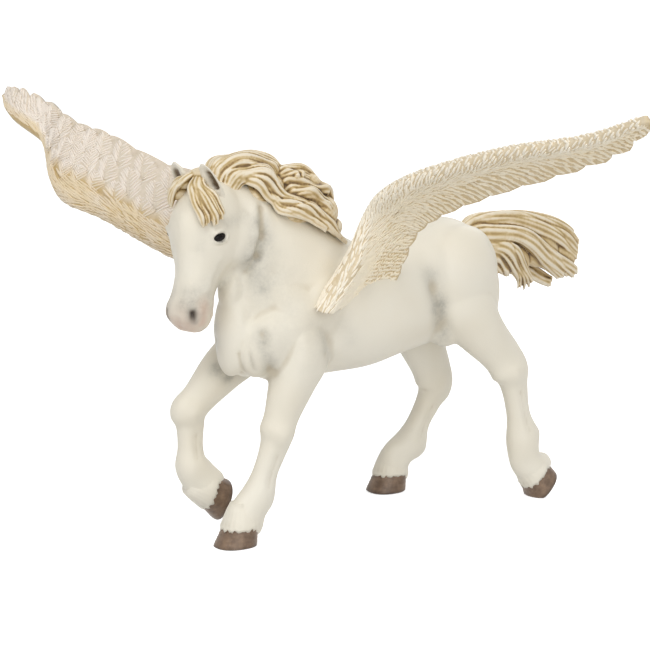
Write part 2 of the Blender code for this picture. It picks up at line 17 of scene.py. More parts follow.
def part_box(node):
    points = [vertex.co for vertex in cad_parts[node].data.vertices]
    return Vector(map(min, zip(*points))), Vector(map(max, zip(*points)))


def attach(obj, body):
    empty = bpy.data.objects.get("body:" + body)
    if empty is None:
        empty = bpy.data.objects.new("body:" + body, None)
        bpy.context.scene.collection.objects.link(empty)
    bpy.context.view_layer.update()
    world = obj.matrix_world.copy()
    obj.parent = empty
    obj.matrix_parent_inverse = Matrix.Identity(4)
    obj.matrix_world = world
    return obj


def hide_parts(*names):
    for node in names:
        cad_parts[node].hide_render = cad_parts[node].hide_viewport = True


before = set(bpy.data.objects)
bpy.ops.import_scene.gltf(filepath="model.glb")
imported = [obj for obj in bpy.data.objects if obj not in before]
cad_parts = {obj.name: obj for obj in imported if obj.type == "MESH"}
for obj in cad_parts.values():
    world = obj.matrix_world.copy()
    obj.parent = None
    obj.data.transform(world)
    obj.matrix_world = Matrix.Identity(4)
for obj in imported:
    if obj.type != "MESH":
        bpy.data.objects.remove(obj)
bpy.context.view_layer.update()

MM = 0.001
plan_shift = np.array((16.05, -7.09, 0.0))

# Trunk
withers_height = 87.0
croup_height = 90.5
back_height = 84.5
girth_depth = 40.5
flank_depth = 34.0
breast_reach = 42.5
buttock_reach = 51.0
chest_width = 27.0
barrel_width = 35.0
hip_width = 34.0

# Neck and head
poll_forward = 49.0
poll_height = 106.0
poll_aside = 3.0
throat_drop = 17.0
throat_width = 12.5
neck_base_width = 24.0
head_length = 41.5
brow_width = 21.0
brow_depth = 27.0
muzzle_width = 13.0
muzzle_depth = 12.5
head_turn = math.radians(23)
head_nod = math.radians(14)
ear_length = 7.2
ear_width = 5.4

eye_along = 14.1
eye_ahead = 0.3
eye_aside = 8.9

# Legs
knee_height = 32.5
hock_height = 42.0
forearm_depth = 18.5
knee_depth = 11.4
fore_cannon_depth = 7.5
thigh_depth = 26.0
gaskin_depth = 15.5
hock_depth = 13.6
hind_cannon_depth = 8.6
fetlock_depth = 10.8
pastern_depth = 9.4
hoof_length = 12.8
hoof_width = 11.5
hoof_height = 7.0

# Wings
wing_span = 126.5
wing_chord = 30.0
wing_thickness = 7.0
wing_edge = 1.3
wing_camber = 3.0
shoulder_turn = math.radians(14)
feather_count = 14
feather_step = 0.9
tip_notch = 3.6
inner_notch = 0.9
covert_share = 0.36
covert_step = 0.8
scale_count = 18
scale_rows = 4
scale_step = 0.9
barb_gap = 0.86
barb_width = 0.66
barb_height = 0.8

# Surface
body_voxel = 0.66
body_softening = 14
fine_reach = 23
hair_voxel = 0.27
hair_softening = 1
lock_sides = 28
lock_strands = 4.0
strand_depth = 0.15
lock_flatness = 0.78

# Paints. Each wing has its cream, its ochre, and the pale and the deep colour between its barbs.
body_creams = ((0.80, 0.745, 0.62), (0.835, 0.795, 0.69))
plain_cream = (0.82, 0.77, 0.66)
hair_cream = (0.84, 0.74, 0.58)
hoof_brown = (0.13, 0.07, 0.045)
# Grey of the airbrush in the folds, also used as painted shade on the chest and shoulder
airbrush_and_shade_grey = (0.30, 0.29, 0.25)
lip_pink = (0.60, 0.41, 0.31)
hollow_brown = (0.50, 0.42, 0.29)
nostril_brown = (0.028, 0.018, 0.014)
ear_brown = (0.15, 0.105, 0.06)
eye_black = (0.006, 0.004, 0.003)
hoof_browns = ((0.125, 0.075, 0.044), (0.31, 0.205, 0.13))
# Painted shade on the hooves, at the top and at the ground
hoof_shade_brown = (0.03, 0.016, 0.01)
wing_colours = {
    # The left wing's colours are lighter than the right's: painted light on a face that lies in shade
    "left_wing": ((0.96, 0.90, 0.78), (0.90, 0.76, 0.49), (0.60, 0.46, 0.25), (0.50, 0.34, 0.13)),
    "right_wing": ((0.88, 0.81, 0.74), (0.76, 0.60, 0.34), (0.66, 0.58, 0.47), (0.48, 0.33, 0.13)),
}
# Rows across the chord, and how ochre each wing is there
wing_warmth = {
    "left_wing": ((0, 0.2, 0.5, 1), (0.1, 0.35, 0.6, 0.5)),
    "right_wing": ((0, 0.06, 0.3, 0.42, 1), (0.7, 1, 0.9, 0.15, 0.2)),
}
# From the crest of a strand down to the gaps between the locks: the ochre paint in the grooves, darkening to
# painted shade in the deepest gaps
hair_colours = [
    (0.0, (0.82, 0.73, 0.57)), (0.16, (0.71, 0.57, 0.35)), (0.4, (0.49, 0.35, 0.15)),
    (0.68, (0.27, 0.17, 0.06)), (1.0, (0.09, 0.05, 0.02)),
]

# Studio. Each lamp has its place and its width in metres, and its power in watts.
lamps = {
    "key": ((0.6, 0.35, 0.85), 0.7, 4.3),
    "fill": ((0.2, 1.0, 0.32), 0.9, 3.5),
    "back": ((-0.7, -0.3, 0.7), 0.6, 1.8),
}
lamp_aim = (0.0, 0.0, 0.06)
surround_light = 0.44
floor_reach = 60000
floor_drop = 0.2
camera_lens = 109.66
camera_place = np.array((329.5, 495.2, 170.1))
camera_target = np.array((8.2, 0.4, 60.8))


def smooth_rows(rows, steps):
    """Rows of numbers joined by a curve that passes through each of them."""
    rows = np.array(rows, float)
    padded = np.vstack([2 * rows[0] - rows[1], rows, 2 * rows[-1] - rows[-2]])
    found = []
    for before, start, end, after in zip(padded, padded[1:], padded[2:], padded[3:]):
        for t in np.arange(steps) / steps:
            square, cube = t * t, t * t * t
            found.append(
                0.5
                * (
                    2 * start
                    + (end - before) * t
                    + (2 * before - 5 * start + 4 * end - after) * square
                    + (3 * start - before - 3 * end + after) * cube
                )
            )
    found.append(rows[-1])
    return np.array(found)


def at_share(rows, share):
    """The row at a share of the way along rows, with straight runs between them."""
    rows = np.array(rows, float)
    places = np.linspace(0, 1, len(rows))
    return np.array([np.interp(share, places, column) for column in rows.T])


def unit(vector):
    return vector / np.maximum(np.linalg.norm(vector, axis=-1, keepdims=True), 1e-9)


def link(name, mesh):
    made = bpy.data.objects.new(name, mesh)
    bpy.context.scene.collection.objects.link(made)
    return made


def mesh_of(name, points, faces):
    mesh = bpy.data.meshes.new(name)
    mesh.from_pydata((np.asarray(points) * MM).tolist(), [], [list(map(int, face)) for face in faces])
    work = bmesh.new()
    work.from_mesh(mesh)
    bmesh.ops.recalc_face_normals(work, faces=work.faces)
    work.to_mesh(mesh)
    work.free()
    return mesh


def loft(loops):
    """Points and faces of a skin over loops of as many points each, closed on a middle point at both ends."""
    loops = np.array(loops)
    rings, sides = loops.shape[:2]
    points = loops.reshape(-1, 3)
    side = np.arange(sides)
    after = (side + 1) % sides
    faces = []
    for ring in range(rings - 1):
        low, high = ring * sides, (ring + 1) * sides
        faces.extend(np.column_stack([low + side, low + after, high + after, high + side]).tolist())
    for first in (0, (rings - 1) * sides):
        middle = len(points)
        points = np.vstack([points, points[first : first + sides].mean(axis=0)])
        faces.extend([first + int(a), first + int(b), middle] for a, b in zip(side, after))
    return points, faces


def gather(forms):
    """Several forms, each points and faces, as one."""
    points, faces, first = [], [], 0
    for form_points, form_faces in forms:
        points.append(form_points)
        faces.extend([first + corner for corner in face] for face in form_faces)
        first += len(form_points)
    return np.vstack(points), faces


def oval(centre, fore, aft, aside, sides, square=1.0):
    """A loop round a centre: a vector to its front, one to its back, and one to its side."""
    turn = np.arange(sides) * math.tau / sides
    ahead, across = np.cos(turn), np.sin(turn)
    ahead = np.sign(ahead) * np.abs(ahead) ** square
    across = np.sign(across) * np.abs(across) ** square
    reach = np.where(ahead[:, None] > 0, fore, -np.asarray(aft))
    return centre + ahead[:, None] * reach + across[:, None] * aside


def profile_form(stations, steps=8, sides=48, square=0.9):
    """A form in side view. Each station has its upper x and z, its lower x and z, its y and its width."""
    loops = []
    for up_x, up_z, low_x, low_z, y, width in smooth_rows(stations, steps):
        upper, lower = np.array((up_x, y, up_z)), np.array((low_x, y, low_z))
        half = (upper - lower) / 2
        aside = np.array((0, max(width, 0.4) / 2, 0))
        loops.append(oval((upper + lower) / 2, half, -half, aside, sides, square))
    return loft(loops)


def limb_form(stations, steps=8, sides=32):
    """A limb along a path. Each station has its place, its depth ahead, its depth behind and its width."""
    rows = smooth_rows(stations, steps)
    loops = []
    for index, row in enumerate(rows):
        path = unit(rows[min(index + 1, len(rows) - 1)][:3] - rows[max(index - 1, 0)][:3])
        aside = unit(np.cross(path, (1, 0, 0)))
        ahead = unit(np.cross(aside, path))
        ahead = ahead if ahead[0] > 0 else -ahead
        aside = np.cross(ahead, path)
        loops.append(oval(row[:3], ahead * row[3], -ahead * row[4], aside * row[5] / 2, sides))
    return loft(loops)


def lump(centre, radii, pitch, sides=32):
    """A muscle or an eyeball as an egg, pitched about the Y axis."""
    loops = []
    for rise in np.linspace(-0.98, 0.98, sides // 2):
        angle = rise * math.pi / 2
        ahead = np.array((math.cos(angle), 0, 0))
        aside = np.array((0, math.cos(angle), 0))
        loops.append(oval(np.array((0, 0, math.sin(angle))), ahead, -ahead, aside, sides))
    points, faces = loft(loops)
    points = points * radii
    cos, sin = math.cos(pitch), math.sin(pitch)
    turned = np.column_stack(
        [points[:, 0] * cos + points[:, 2] * sin, points[:, 1], points[:, 2] * cos - points[:, 0] * sin]
    )
    return turned + np.array(centre), faces


def trunk_and_neck():
    belly = withers_height - girth_depth
    flank = croup_height - flank_depth
    throat = poll_height - throat_drop
    trunk = [
        (-buttock_reach + 0.5, croup_height - 15, -buttock_reach, flank + 6, 1.5, hip_width * 0.35),
        (-buttock_reach + 5, croup_height - 6, -buttock_reach + 2, flank, 1.2, hip_width * 0.8),
        (-buttock_reach + 13, croup_height, -buttock_reach + 13, flank - 3, 0.5, hip_width),
        (-buttock_reach + 25, croup_height - 1, -buttock_reach + 25, flank - 5, 0, hip_width * 0.98),
        (-14, back_height + 1, -15, belly + 3, 0, barrel_width),
        (-3, back_height + 1, -4, belly + 0.5, 0, barrel_width),
        (7, withers_height, 8, belly, 0.2, barrel_width * 0.94),
        (17, withers_height - 3, 20, belly, 0.8, chest_width * 1.08),
        (27, withers_height - 11, 31, belly + 0.5, 1.8, chest_width * 1.04),
        (36, withers_height - 17, 38, belly + 4, 2.8, chest_width * 0.9),
        (breast_reach, withers_height - 22, breast_reach, belly + 11, 3.4, chest_width * 0.42),
    ]
    neck = [
        (-4, back_height, breast_reach - 8, belly + 8, 0.6, neck_base_width),
        (5, withers_height + 2, breast_reach, belly + 19, 1.6, neck_base_width * 0.92),
        (14, withers_height + 7.5, breast_reach + 0.5, belly + 30, 2.2, neck_base_width * 0.76),
        (poll_forward - 21, poll_height - 4, poll_forward - 5, throat - 7, 2.6, throat_width * 1.16),
        (poll_forward - 10, poll_height + 1, poll_forward - 5, throat, poll_aside, throat_width),
        (poll_forward - 1, poll_height + 1, poll_forward + 2, throat + 2, poll_aside, throat_width * 0.94),
    ]
    return [profile_form(trunk, sides=64), profile_form(neck, square=0.95)]


def head_place(along, ahead, aside):
    """A place on the head: along the face from the poll, ahead of the line through it, and to the left."""
    down = np.array((math.sin(head_nod), 0, -math.cos(head_nod)))
    front = np.array((math.cos(head_nod), 0, math.sin(head_nod)))
    local = down * along + front * ahead + np.array((0, aside, 0))
    cos, sin = math.cos(head_turn), math.sin(head_turn)
    turned = np.array((local[0] * cos - local[1] * sin, local[0] * sin + local[1] * cos, local[2]))
    return turned + np.array((poll_forward + 2, poll_aside, poll_height))


def face_place(along, ahead, aside):
    """A place on the face, which leans a little to one side between the poll and the muzzle."""
    shares = (0, 0.16, 0.30, 0.44, 0.58, 0.72, 0.86)
    leans = (0, -0.5, -0.7, -0.6, -0.4, -0.6, -1.0)
    return head_place(along, ahead, aside + np.interp(along / head_length, shares, leans))


def head_form():
    """The head over rows with their share of its length, front, back, width and lean aside."""
    rows = [
        (-0.05, 0.05, -0.22, brow_width * 0.45, 0),
        (0.03, 0.14, -0.42, brow_width * 0.76, 0),
        (0.16, 0.24, -0.70, brow_width * 0.92, -0.5),
        (0.30, 0.27, -0.74, brow_width, -0.7),
        (0.44, 0.22, -0.66, brow_width * 0.86, -0.6),
        (0.58, 0.16, -0.46, brow_width * 0.62, -0.4),
        (0.72, 0.13, -0.34, muzzle_width * 0.94, -0.6),
        (0.86, 0.15, -0.32, muzzle_width * 1.04, -1.0),
        (0.95, 0.09, -0.30, muzzle_width * 0.90, -1.0),
        (1.01, -0.04, -0.22, muzzle_width * 0.5, -1.0),
    ]
    loops = []
    for share, front, back, width, lean in smooth_rows(rows, 6):
        depth = brow_depth + (muzzle_depth / 0.46 - brow_depth) * min(max((share - 0.5) / 0.35, 0), 1)
        middle = (front + back) / 2 * depth
        centre = head_place(head_length * share, middle, lean)
        fore = head_place(head_length * share, front * depth, lean) - centre
        aside = head_place(head_length * share, middle, lean + width / 2) - centre
        loops.append(oval(centre, fore, -fore, aside, 48, 0.92))
    return loft(loops)


def leg_form(joints, girths):
    """A leg through its joints, with its depths between them. The last joint is the top of the hoof."""
    top = np.array(joints[0], float)
    places = [top + np.array((-1.5, -0.45 * top[1], 10))]
    for start, end, shares in zip(joints, joints[1:], ((0, 0.4, 0.8), (0, 0.22, 0.65), (0, 0.55))):
        start, end = np.array(start, float), np.array(end, float)
        places.extend(start + (end - start) * share for share in shares)
    coronet = np.array(joints[-1], float)
    places.append(coronet)
    stations = [(*place, *girth) for place, girth in zip(places, [girths[0], *girths])]
    into_hoof = coronet + unit(coronet - places[-2]) * hoof_height * 0.4
    stations.append((*into_hoof, *(0.8 * np.array(girths[-1]))))
    return limb_form(stations)


fore_girths = [
    (forearm_depth * 0.28, forearm_depth * 0.62, forearm_depth * 0.74),
    (forearm_depth * 0.32, forearm_depth * 0.46, forearm_depth * 0.66),
    (knee_depth * 0.48, knee_depth * 0.50, knee_depth * 0.80),
    (knee_depth * 0.52, knee_depth * 0.46, knee_depth * 0.86),
    (fore_cannon_depth * 0.56, fore_cannon_depth * 0.70, fore_cannon_depth * 0.94),
    (fore_cannon_depth * 0.50, fore_cannon_depth * 0.58, fore_cannon_depth * 0.86),
    (fetlock_depth * 0.44, fetlock_depth * 0.53, fetlock_depth * 0.82),
    (pastern_depth * 0.60, pastern_depth * 0.58, pastern_depth * 0.92),
    (hoof_length * 0.41, hoof_length * 0.53, hoof_width * 0.84),
]
hind_girths = [
    (thigh_depth * 0.46, thigh_depth * 0.44, thigh_depth * 0.56),
    (gaskin_depth * 0.60, gaskin_depth * 0.48, gaskin_depth * 0.84),
    (hock_depth * 0.44, hock_depth * 0.58, hock_depth * 0.66),
    (hock_depth * 0.46, hock_depth * 0.54, hock_depth * 0.68),
    (hind_cannon_depth * 0.42, hind_cannon_depth * 0.70, hind_cannon_depth * 0.84),
    (hind_cannon_depth * 0.42, hind_cannon_depth * 0.52, hind_cannon_depth * 0.80),
    (fetlock_depth * 0.52, fetlock_depth * 0.60, fetlock_depth * 0.88),
    (pastern_depth * 0.76, pastern_depth * 0.38, pastern_depth * 0.94),
    (hoof_length * 0.48, hoof_length * 0.52, hoof_width * 0.86),
]
# Joints of each leg from the body down to the coronet, and the pitch of the sole
legs = {
    "left_fore": (
        [(25.5, 11.5, 56), (31.5, 10.5, knee_height), (37.8, 9.2, 14.5), (43, 9, hoof_height - 0.5)], 0.0
    ),
    "right_fore": ([(32, -10, 57), (49, -12, knee_height + 4), (48.6, -12, 20), (43.5, -12, 12.5)], 1.22),
    "left_hind": ([(-36, 11, 66), (-52, 14, hock_height), (-57.9, 14, 19.5), (-62.5, 14, 9)], 0.85),
    "right_hind": (
        [(-33, -11, 62), (-43.3, -14.5, hock_height - 8.5), (-35, -16, 15), (-29, -17, hoof_height)], 0.0
    ),
}


def nearness(points, start, end, radius):
    """1 on the line from start to end, falling away to 0 over the radius."""
    start, run = np.array(start, float), np.array(end, float) - np.array(start, float)
    share = np.clip((points - start) @ run / max(run @ run, 1e-9), 0, 1)
    gap = np.linalg.norm(points - start - share[:, None] * run, axis=1)
    return np.exp(-((gap / radius) ** 2))


def body_strokes():
    """Where a tool pressed into the clay or added to it: start, end, radius and height of each stroke."""
    strokes = []
    for side in (1, -1):
        strokes += [
            ((13, side * 13, 82), (27, side * 13.5, 66), 4.0, 0.7),
            ((8, side * 17, 76), (17, side * 16, 56), 3.4, -0.9),
            ((19, side * 14, 70), (26, side * 15, 62), 4.5, 0.7),
            ((18, side * 15, 55), (27, side * 16, 51), 2.2, -0.5),
            ((33, 2 + side * 10, 80), (40, 3 + side * 9, 70), 2.6, -0.5),
            ((18, side * 10, 84), (36, side * 8, 95), 4.0, 0.5),
            ((-17, side * 17, 84), (-21, side * 17, 72), 3.2, -0.8),
            ((-21, side * 17, 72), (-25, side * 15, 58), 3.0, -0.9),
            ((-21, side * 13, 87), (-24, side * 14, 85), 3.0, 0.5),
            ((-45, side * 13, 82), (-49, side * 12, 66), 2.6, -0.6),
            ((-28, side * 15, 63), (-29, side * 15, 60), 3.6, 0.5),
        ]
    strokes += [
        ((45.5, 0.2, 60), (40.5, -0.8, 49.5), 1.9, -1.1),
        ((42, 11.5, 58), (40, 11.5, 51.8), 0.9, -0.45),
        ((43, 8, 57), (41, 8, 51), 1.0, -0.35),
        ((38.5, 13.3, 63), (34.8, 12.2, 51.3), 1.9, -0.9),
        ((39, 3, 50), (33, 2.5, 46), 2.0, -0.4),
    ]
    return strokes


def eye_place(side, ahead, up, out):
    """A place near an eye, along its long axis, across it and out of the head."""
    tilt = 0.45
    along = eye_along - up * math.cos(tilt) + ahead * math.sin(tilt)
    front = eye_ahead + ahead * math.cos(tilt) + up * math.sin(tilt)
    return head_place(along, front, side * (eye_aside + out - 0.2 * (front - eye_ahead)) - 0.7)


def eye_loop(side, size):
    """Places round an eye, size times as far out as its rim."""
    turns = np.linspace(0, math.tau, 17)
    return [eye_place(side, 1.95 * size * math.cos(turn), 1.25 * size * math.sin(turn), 0) for turn in turns]


def head_strokes():
    strokes = []
    for side in (1, -1):
        rim = eye_loop(side, 1.25)
        strokes += [(start, end, 0.55, 0.42) for start, end in zip(rim, rim[1:])]
        jaw = [(4, -13.4, 11.2), (11.5, -14.6, 11.8), (17.5, -14.8, 11), (22.5, -13.8, 8.4)]
        for step, radius, height in ((0, 1.5, -1.2), (2.6, 1.8, 0.6)):
            edge = [head_place(along, ahead + step, side * aside) for along, ahead, aside in jaw]
            strokes += [(start, end, radius, height) for start, end in zip(edge, edge[1:])]
        strokes += [
            (eye_place(side, -0.9, 0, 0), eye_place(side, 0.9, 0, 0), 1.0, -0.75),
            (eye_place(side, -2.2, 2.2, 0), eye_place(side, 2.4, 2.0, 0), 0.9, 0.45),
            (eye_place(side, -1.8, -2.4, 0), eye_place(side, 2.0, -2.2, 0), 0.8, -0.22),
            (face_place(8.5, 0, side * 8), face_place(9, -3, side * 8.4), 2.4, -0.45),
            (face_place(21, -2.0, side * 8.6), face_place(29.5, -1.2, side * 5.8), 1.3, 0.5),
            (face_place(23, -9, side * 6.6), face_place(30, -5.5, side * 5), 2.2, -0.6),
            (face_place(20, 5.5, side * 4.2), face_place(31, 3.4, side * 4.2), 1.5, -0.4),
            (face_place(33.5, 0.5, side * 5.8), face_place(31.5, -1.5, side * 6.0), 1.4, -0.3),
            (face_place(39.0, 3.2, side * 3.9), face_place(35.4, 3.2, side * 5.0), 1.1, 0.6),
            (face_place(39.2, 0.8, side * 5.4), face_place(35.6, 0.2, side * 6.4), 1.0, 0.4),
            (nostril(side, -1.5), nostril(side, 1.5), 0.85, -1.5),
            (face_place(40.6, -1.6, side * 1), face_place(36.6, -4.6, side * 5.6), 0.6, -0.75),
            (face_place(36.6, -4.6, side * 5.6), face_place(34.3, -5.2, side * 5.8), 0.7, -0.45),
            (face_place(39.6, -4.6, side * 1), face_place(36.2, -6.8, side * 4.6), 1.0, 0.3),
        ]
    strokes += [
        (face_place(39.8, -5.5, 0), face_place(38, -6.6, 0), 2.0, 0.4),
        (face_place(41, 0.2, 0), face_place(38.6, 2.6, 0), 0.8, -0.25),
        (face_place(10, 7.6, 0), face_place(24, 6.0, 0), 2.6, 0.4),
    ]
    return strokes


def nostril(side, along):
    """A place in a nostril, along its slit from the middle."""
    return face_place(head_length * 0.92 + along, 1.9 - along * 0.25, side * 4.9 + along * side * 0.12)


def leg_strokes():
    """Tendons, knees and the hair behind the fetlocks."""
    strokes = []
    for name, (joints, _) in legs.items():
        top, knee, fetlock, coronet = (np.array(joint, float) for joint in joints)
        down = unit(fetlock - knee)
        back = unit(np.cross(down, (0, 1, 0)))
        back = back if back[0] < 0 else -back
        depth = fore_cannon_depth if name.endswith("fore") else hind_cannon_depth
        for side in (1, -1):
            aside = np.array((0, side * depth * 0.42, 0))
            tendon = back * 0.8 + aside
            strokes.append((knee + down * 7 + tendon, fetlock - down * 3 + tendon, 1.1, -0.35))
            strokes.append((knee - down * 1 + aside * 1.1, knee + down * 2 + aside * 1.1, 1.6, 0.35))
        behind = back * depth * 0.5
        heel = coronet + back * pastern_depth * 0.55
        strokes.append((knee + down * 8 + behind, fetlock - down * 2 + behind, 1.2, 0.25))
        strokes.append((fetlock + back * fetlock_depth * 0.6, heel, 1.6, 0.6))
        strokes.append((coronet + back * pastern_depth * 0.5 - down, heel, 2.0, 0.5))
    return strokes


def read_points(mesh):
    flat = np.empty(len(mesh.vertices) * 3, np.float32)
    mesh.vertices.foreach_get("co", flat)
    return flat.reshape(-1, 3).astype(float) / MM


def write_points(mesh, points):
    mesh.vertices.foreach_set("co", (points * MM).astype(np.float32).ravel())
    mesh.update()


def read_normals(mesh):
    flat = np.empty(len(mesh.vertices) * 3, np.float32)
    mesh.vertex_normals.foreach_get("vector", flat)
    return flat.reshape(-1, 3).astype(float)


def mark(mesh, name, values):
    """Stores one number at each vertex for the paint to read."""
    layer = mesh.attributes.new(name, "FLOAT", "POINT")
    layer.data.foreach_set("value", np.asarray(values, np.float32))


def mark_ways(mesh, name, ways):
    """Stores one direction at each point for a geometry tree to read."""
    layer = mesh.attributes.new(name, "FLOAT_VECTOR", "POINT")
    layer.data.foreach_set("vector", np.asarray(ways, np.float32).ravel())


def hollows(mesh, rounds=3):
    """How far each vertex lies below its neighbours, in millimetres: more than 0 in a groove."""
    edges = np.empty(len(mesh.edges) * 2, np.int32)
    mesh.edges.foreach_get("vertices", edges)
    start, end = edges.reshape(-1, 2).T
    points, normals = read_points(mesh), read_normals(mesh)
    count = np.bincount(start, minlength=len(points)) + np.bincount(end, minlength=len(points))

    def average(values):
        total = np.zeros_like(values)
        np.add.at(total, start, values[end])
        np.add.at(total, end, values[start])
        return total / np.maximum(count, 1)[:, None]

    soft = points
    for _ in range(rounds):
        soft = average(soft)
    return np.einsum("ij,ij->i", soft - points, normals)


def shelter(mesh, tree, reach, rays=10):
    """The share of short rays from each vertex that meet a surface: near 1 deep between locks or feathers."""
    points, normals = read_points(mesh) * MM, read_normals(mesh)
    spread = np.random.default_rng(5).normal(size=(rays, 3))
    met = np.zeros(len(points))
    for ray in spread:
        directions = unit(normals + unit(ray) * 0.9)
        for index, (place, normal, heading) in enumerate(zip(points, normals, directions)):
            if tree.ray_cast(Vector(place + normal * 0.12 * MM), Vector(heading), reach * MM)[0] is not None:
                met[index] += 1
    return met / rays


def body_mesh():
    """Trunk, neck, head and legs as one skin, pressed and added to with strokes, finer on the head."""
    forms = trunk_and_neck() + [head_form()]
    for name, (joints, _) in legs.items():
        forms.append(leg_form(joints, fore_girths if name.endswith("fore") else hind_girths))
    belly = withers_height - girth_depth
    for side in (1, -1):
        forms.append(lump((23, 1.5 + side * 7.5, withers_height - 22), (8.5, 6.5, 15), 0.55))
        forms.append(lump((36, 2.8 + side * 5.0, belly + 11.5), (6.8, 6, 9), -0.2))
        forms.append(lump((-35, 0.8 + side * 8.5, croup_height - 18), (14.5, 9, 17), -0.3))
        forms.append(lump((-29, side * 10.5, croup_height - 31), (6.5, 4.5, 8), 0.2))
        forms.append(lump(head_place(head_length * 0.3, -10.5, side * 5.8), (7.8, 5.4, 8.9), 0))
    forms.append(lump((36.4, 2.4, belly + 14), (7.4, 6.5, 12.5), -0.12))
    forms.append(lump((41.8, 2.4, belly + 16.5), (5.2, 6.8, 14), -0.06))
    forms.append(lump((43.2, 3.4, belly + 29), (3.4, 4.4, 6.5), -0.1))
    points, faces = gather(forms)
    mesh = melted("clay", mesh_of("clay", points, faces), body_voxel, body_softening)

    work = bmesh.new()
    work.from_mesh(mesh)
    nose = head_place(head_length * 0.62, 0, 0)
    edges = {}
    for face in work.faces:
        away = np.array(face.calc_center_median()) / MM - nose
        if away[2] < fine_reach - 1 and np.linalg.norm(away) < fine_reach:
            edges.update(dict.fromkeys(face.edges))
    bmesh.ops.subdivide_edges(work, edges=list(edges), cuts=1, use_grid_fill=True)
    near = []
    for vertex in work.verts:
        if np.linalg.norm(np.array(vertex.co) / MM - nose) < fine_reach + 0.5:
            near.append(vertex)
    for _ in range(3):
        bmesh.ops.smooth_vert(work, verts=near, factor=0.5, use_axis_x=True, use_axis_y=True, use_axis_z=True)
    work.to_mesh(mesh)
    work.free()

    points = read_points(mesh)
    normals = read_normals(mesh)
    mark(mesh, "dark", dark_spots(points))
    rise = np.zeros(len(points))
    for start, end, radius, height in body_strokes() + leg_strokes() + head_strokes():
        rise += height * nearness(points, start, end, radius)
    points += normals * rise[:, None]
    points[:, 2] = np.maximum(points[:, 2], 0.4)
    write_points(mesh, points)
    return mesh


def airbrush_and_painted_shade(points):
    """Grey airbrushed by hand into the folds, and a faint painted shade over the chest and shoulder, as a
    strength at each vertex.
    """
    rows = [
        ((38, 9.5, 95), (40.5, 10, 84), 2.6, 0.6),
        ((40, 9, 84), (36, 9.5, 76), 3.0, 0.5),
        ((36, 10, 92), (33, 11, 80), 4.0, 0.2),
        ((48, -2.5, 59), (44.5, -4.5, 51), 2.8, 0.85),
        ((44.5, -4.5, 51), (39, -4.5, 47.5), 2.4, 0.85),
        ((47, 0.6, 64), (46, 0.6, 59), 2.4, 0.35),
        ((40, -4, 56), (38, -4, 50), 3.0, 0.3),
        ((38.4, 13.3, 63), (34.6, 12, 51), 2.4, 0.6),
        ((41.6, 11.5, 57), (40, 11.5, 52), 0.8, 0.45),
        ((34, 6, 47), (33, -4, 46), 2.4, 0.4),
        # Painted shade: broad faint grey that darkens the chest and shoulder as shade would
        ((40, 6, 74), (36, 12, 60), 9.0, 0.10),
        ((30, 14, 74), (22, 16, 62), 10.0, 0.16),
        (head_place(6, -14.8, 11.6), head_place(12, -15.8, 11.8), 2.0, 0.35),
        (head_place(12, -15.8, 11.8), head_place(18, -15.8, 10.5), 2.2, 0.5),
        (head_place(18, -15.8, 10.5), head_place(22, -14, 8.4), 1.7, 0.3),
        ((20, 14.5, 62), (15, 16.5, 53), 2.2, 0.42),
        ((15, 16.5, 53), (11, 16.5, 46), 2.4, 0.55),
        ((14, 17.5, 68), (9, 17.5, 58), 2.6, 0.22),
        ((15, -15.5, 64), (12, -17, 47), 3.0, 0.5),
        ((-17, 17, 84), (-20, 17.5, 76), 2.4, 0.30),
        ((-20, 17.5, 76), (-23, 16, 66), 2.8, 0.62),
        ((-23, 16, 66), (-26, 15, 56), 2.6, 0.80),
        ((-17, -17, 84), (-20, -17.5, 74), 2.6, 0.5),
        ((-20, -17.5, 74), (-25, -15, 57), 3.0, 0.75),
        ((-28, 8, 54), (-28, -8, 54), 5.0, 0.5),
        ((-44, 5, 84), (-46, -4, 84), 3.4, 0.3),
        ((8, 16, 84), (4, 16.5, 74), 3.5, 0.18),
        (face_place(32, 4.4, 4.6), face_place(35.5, 3.4, 5.4), 2.7, 0.95),
        (face_place(31.0, 3.0, 6.4), face_place(34, 2.2, 6.8), 2.2, 0.8),
        (face_place(31.5, 5.0, 1.5), face_place(35, 4.5, 1.5), 2.2, 0.45),
        (face_place(31.5, 4.6, -4.4), face_place(35.5, 3.4, -5.2), 2.5, 0.7),
        (face_place(36, 1, 6.5), face_place(32, -2, 6), 2.2, 0.4),
        (face_place(34, -4, 5), face_place(28, -8, 4), 2.2, 0.35),
        (face_place(24, -2, 8.4), face_place(28, 0, 6), 2.6, 0.25),
        (face_place(13.5, 5.5, 6.2), face_place(18.5, 4.5, 6.0), 1.8, 0.2),
        (face_place(26, -13, 3), face_place(15, -19, 2), 3.4, 0.65),
        (face_place(10, -2, 9), face_place(7, -8, 9), 2.2, 0.3),
    ]
    clear = np.ones(len(points))
    for start, end, radius, strength in rows:
        clear *= 1 - strength * nearness(points, start, end, radius)
    return 1 - clear


def dark_spots(points):
    """Nostrils and the rims of the eyes, painted dark brown."""
    clear = np.ones(len(points))
    for side in (1, -1):
        clear *= 1 - 0.97 * nearness(points, nostril(side, -1.3), nostril(side, 1.3), 1.45) ** 1.2
        rim = eye_loop(side, 1.02)
        for start, end in zip(rim, rim[1:]):
            clear *= 1 - 0.55 * nearness(points, start, end, 0.26)
        clear *= 1 - 0.9 * nearness(points, eye_place(side, -0.6, 0, 0), eye_place(side, 0.6, 0, 0), 0.9)
    return 1 - clear


def lip_shade(points):
    """Pink on the lips and beside the nostrils, as a strength at each vertex."""
    pink = 0.75 * nearness(points, face_place(40, -1, 0), face_place(37, -4, 0), 5.5)
    for side in (1, -1):
        beside = nearness(points, face_place(34, 0, side * 7.5), face_place(39, -1.5, side * 6), 2.6)
        pink = np.maximum(pink, 0.6 * beside)
    return pink


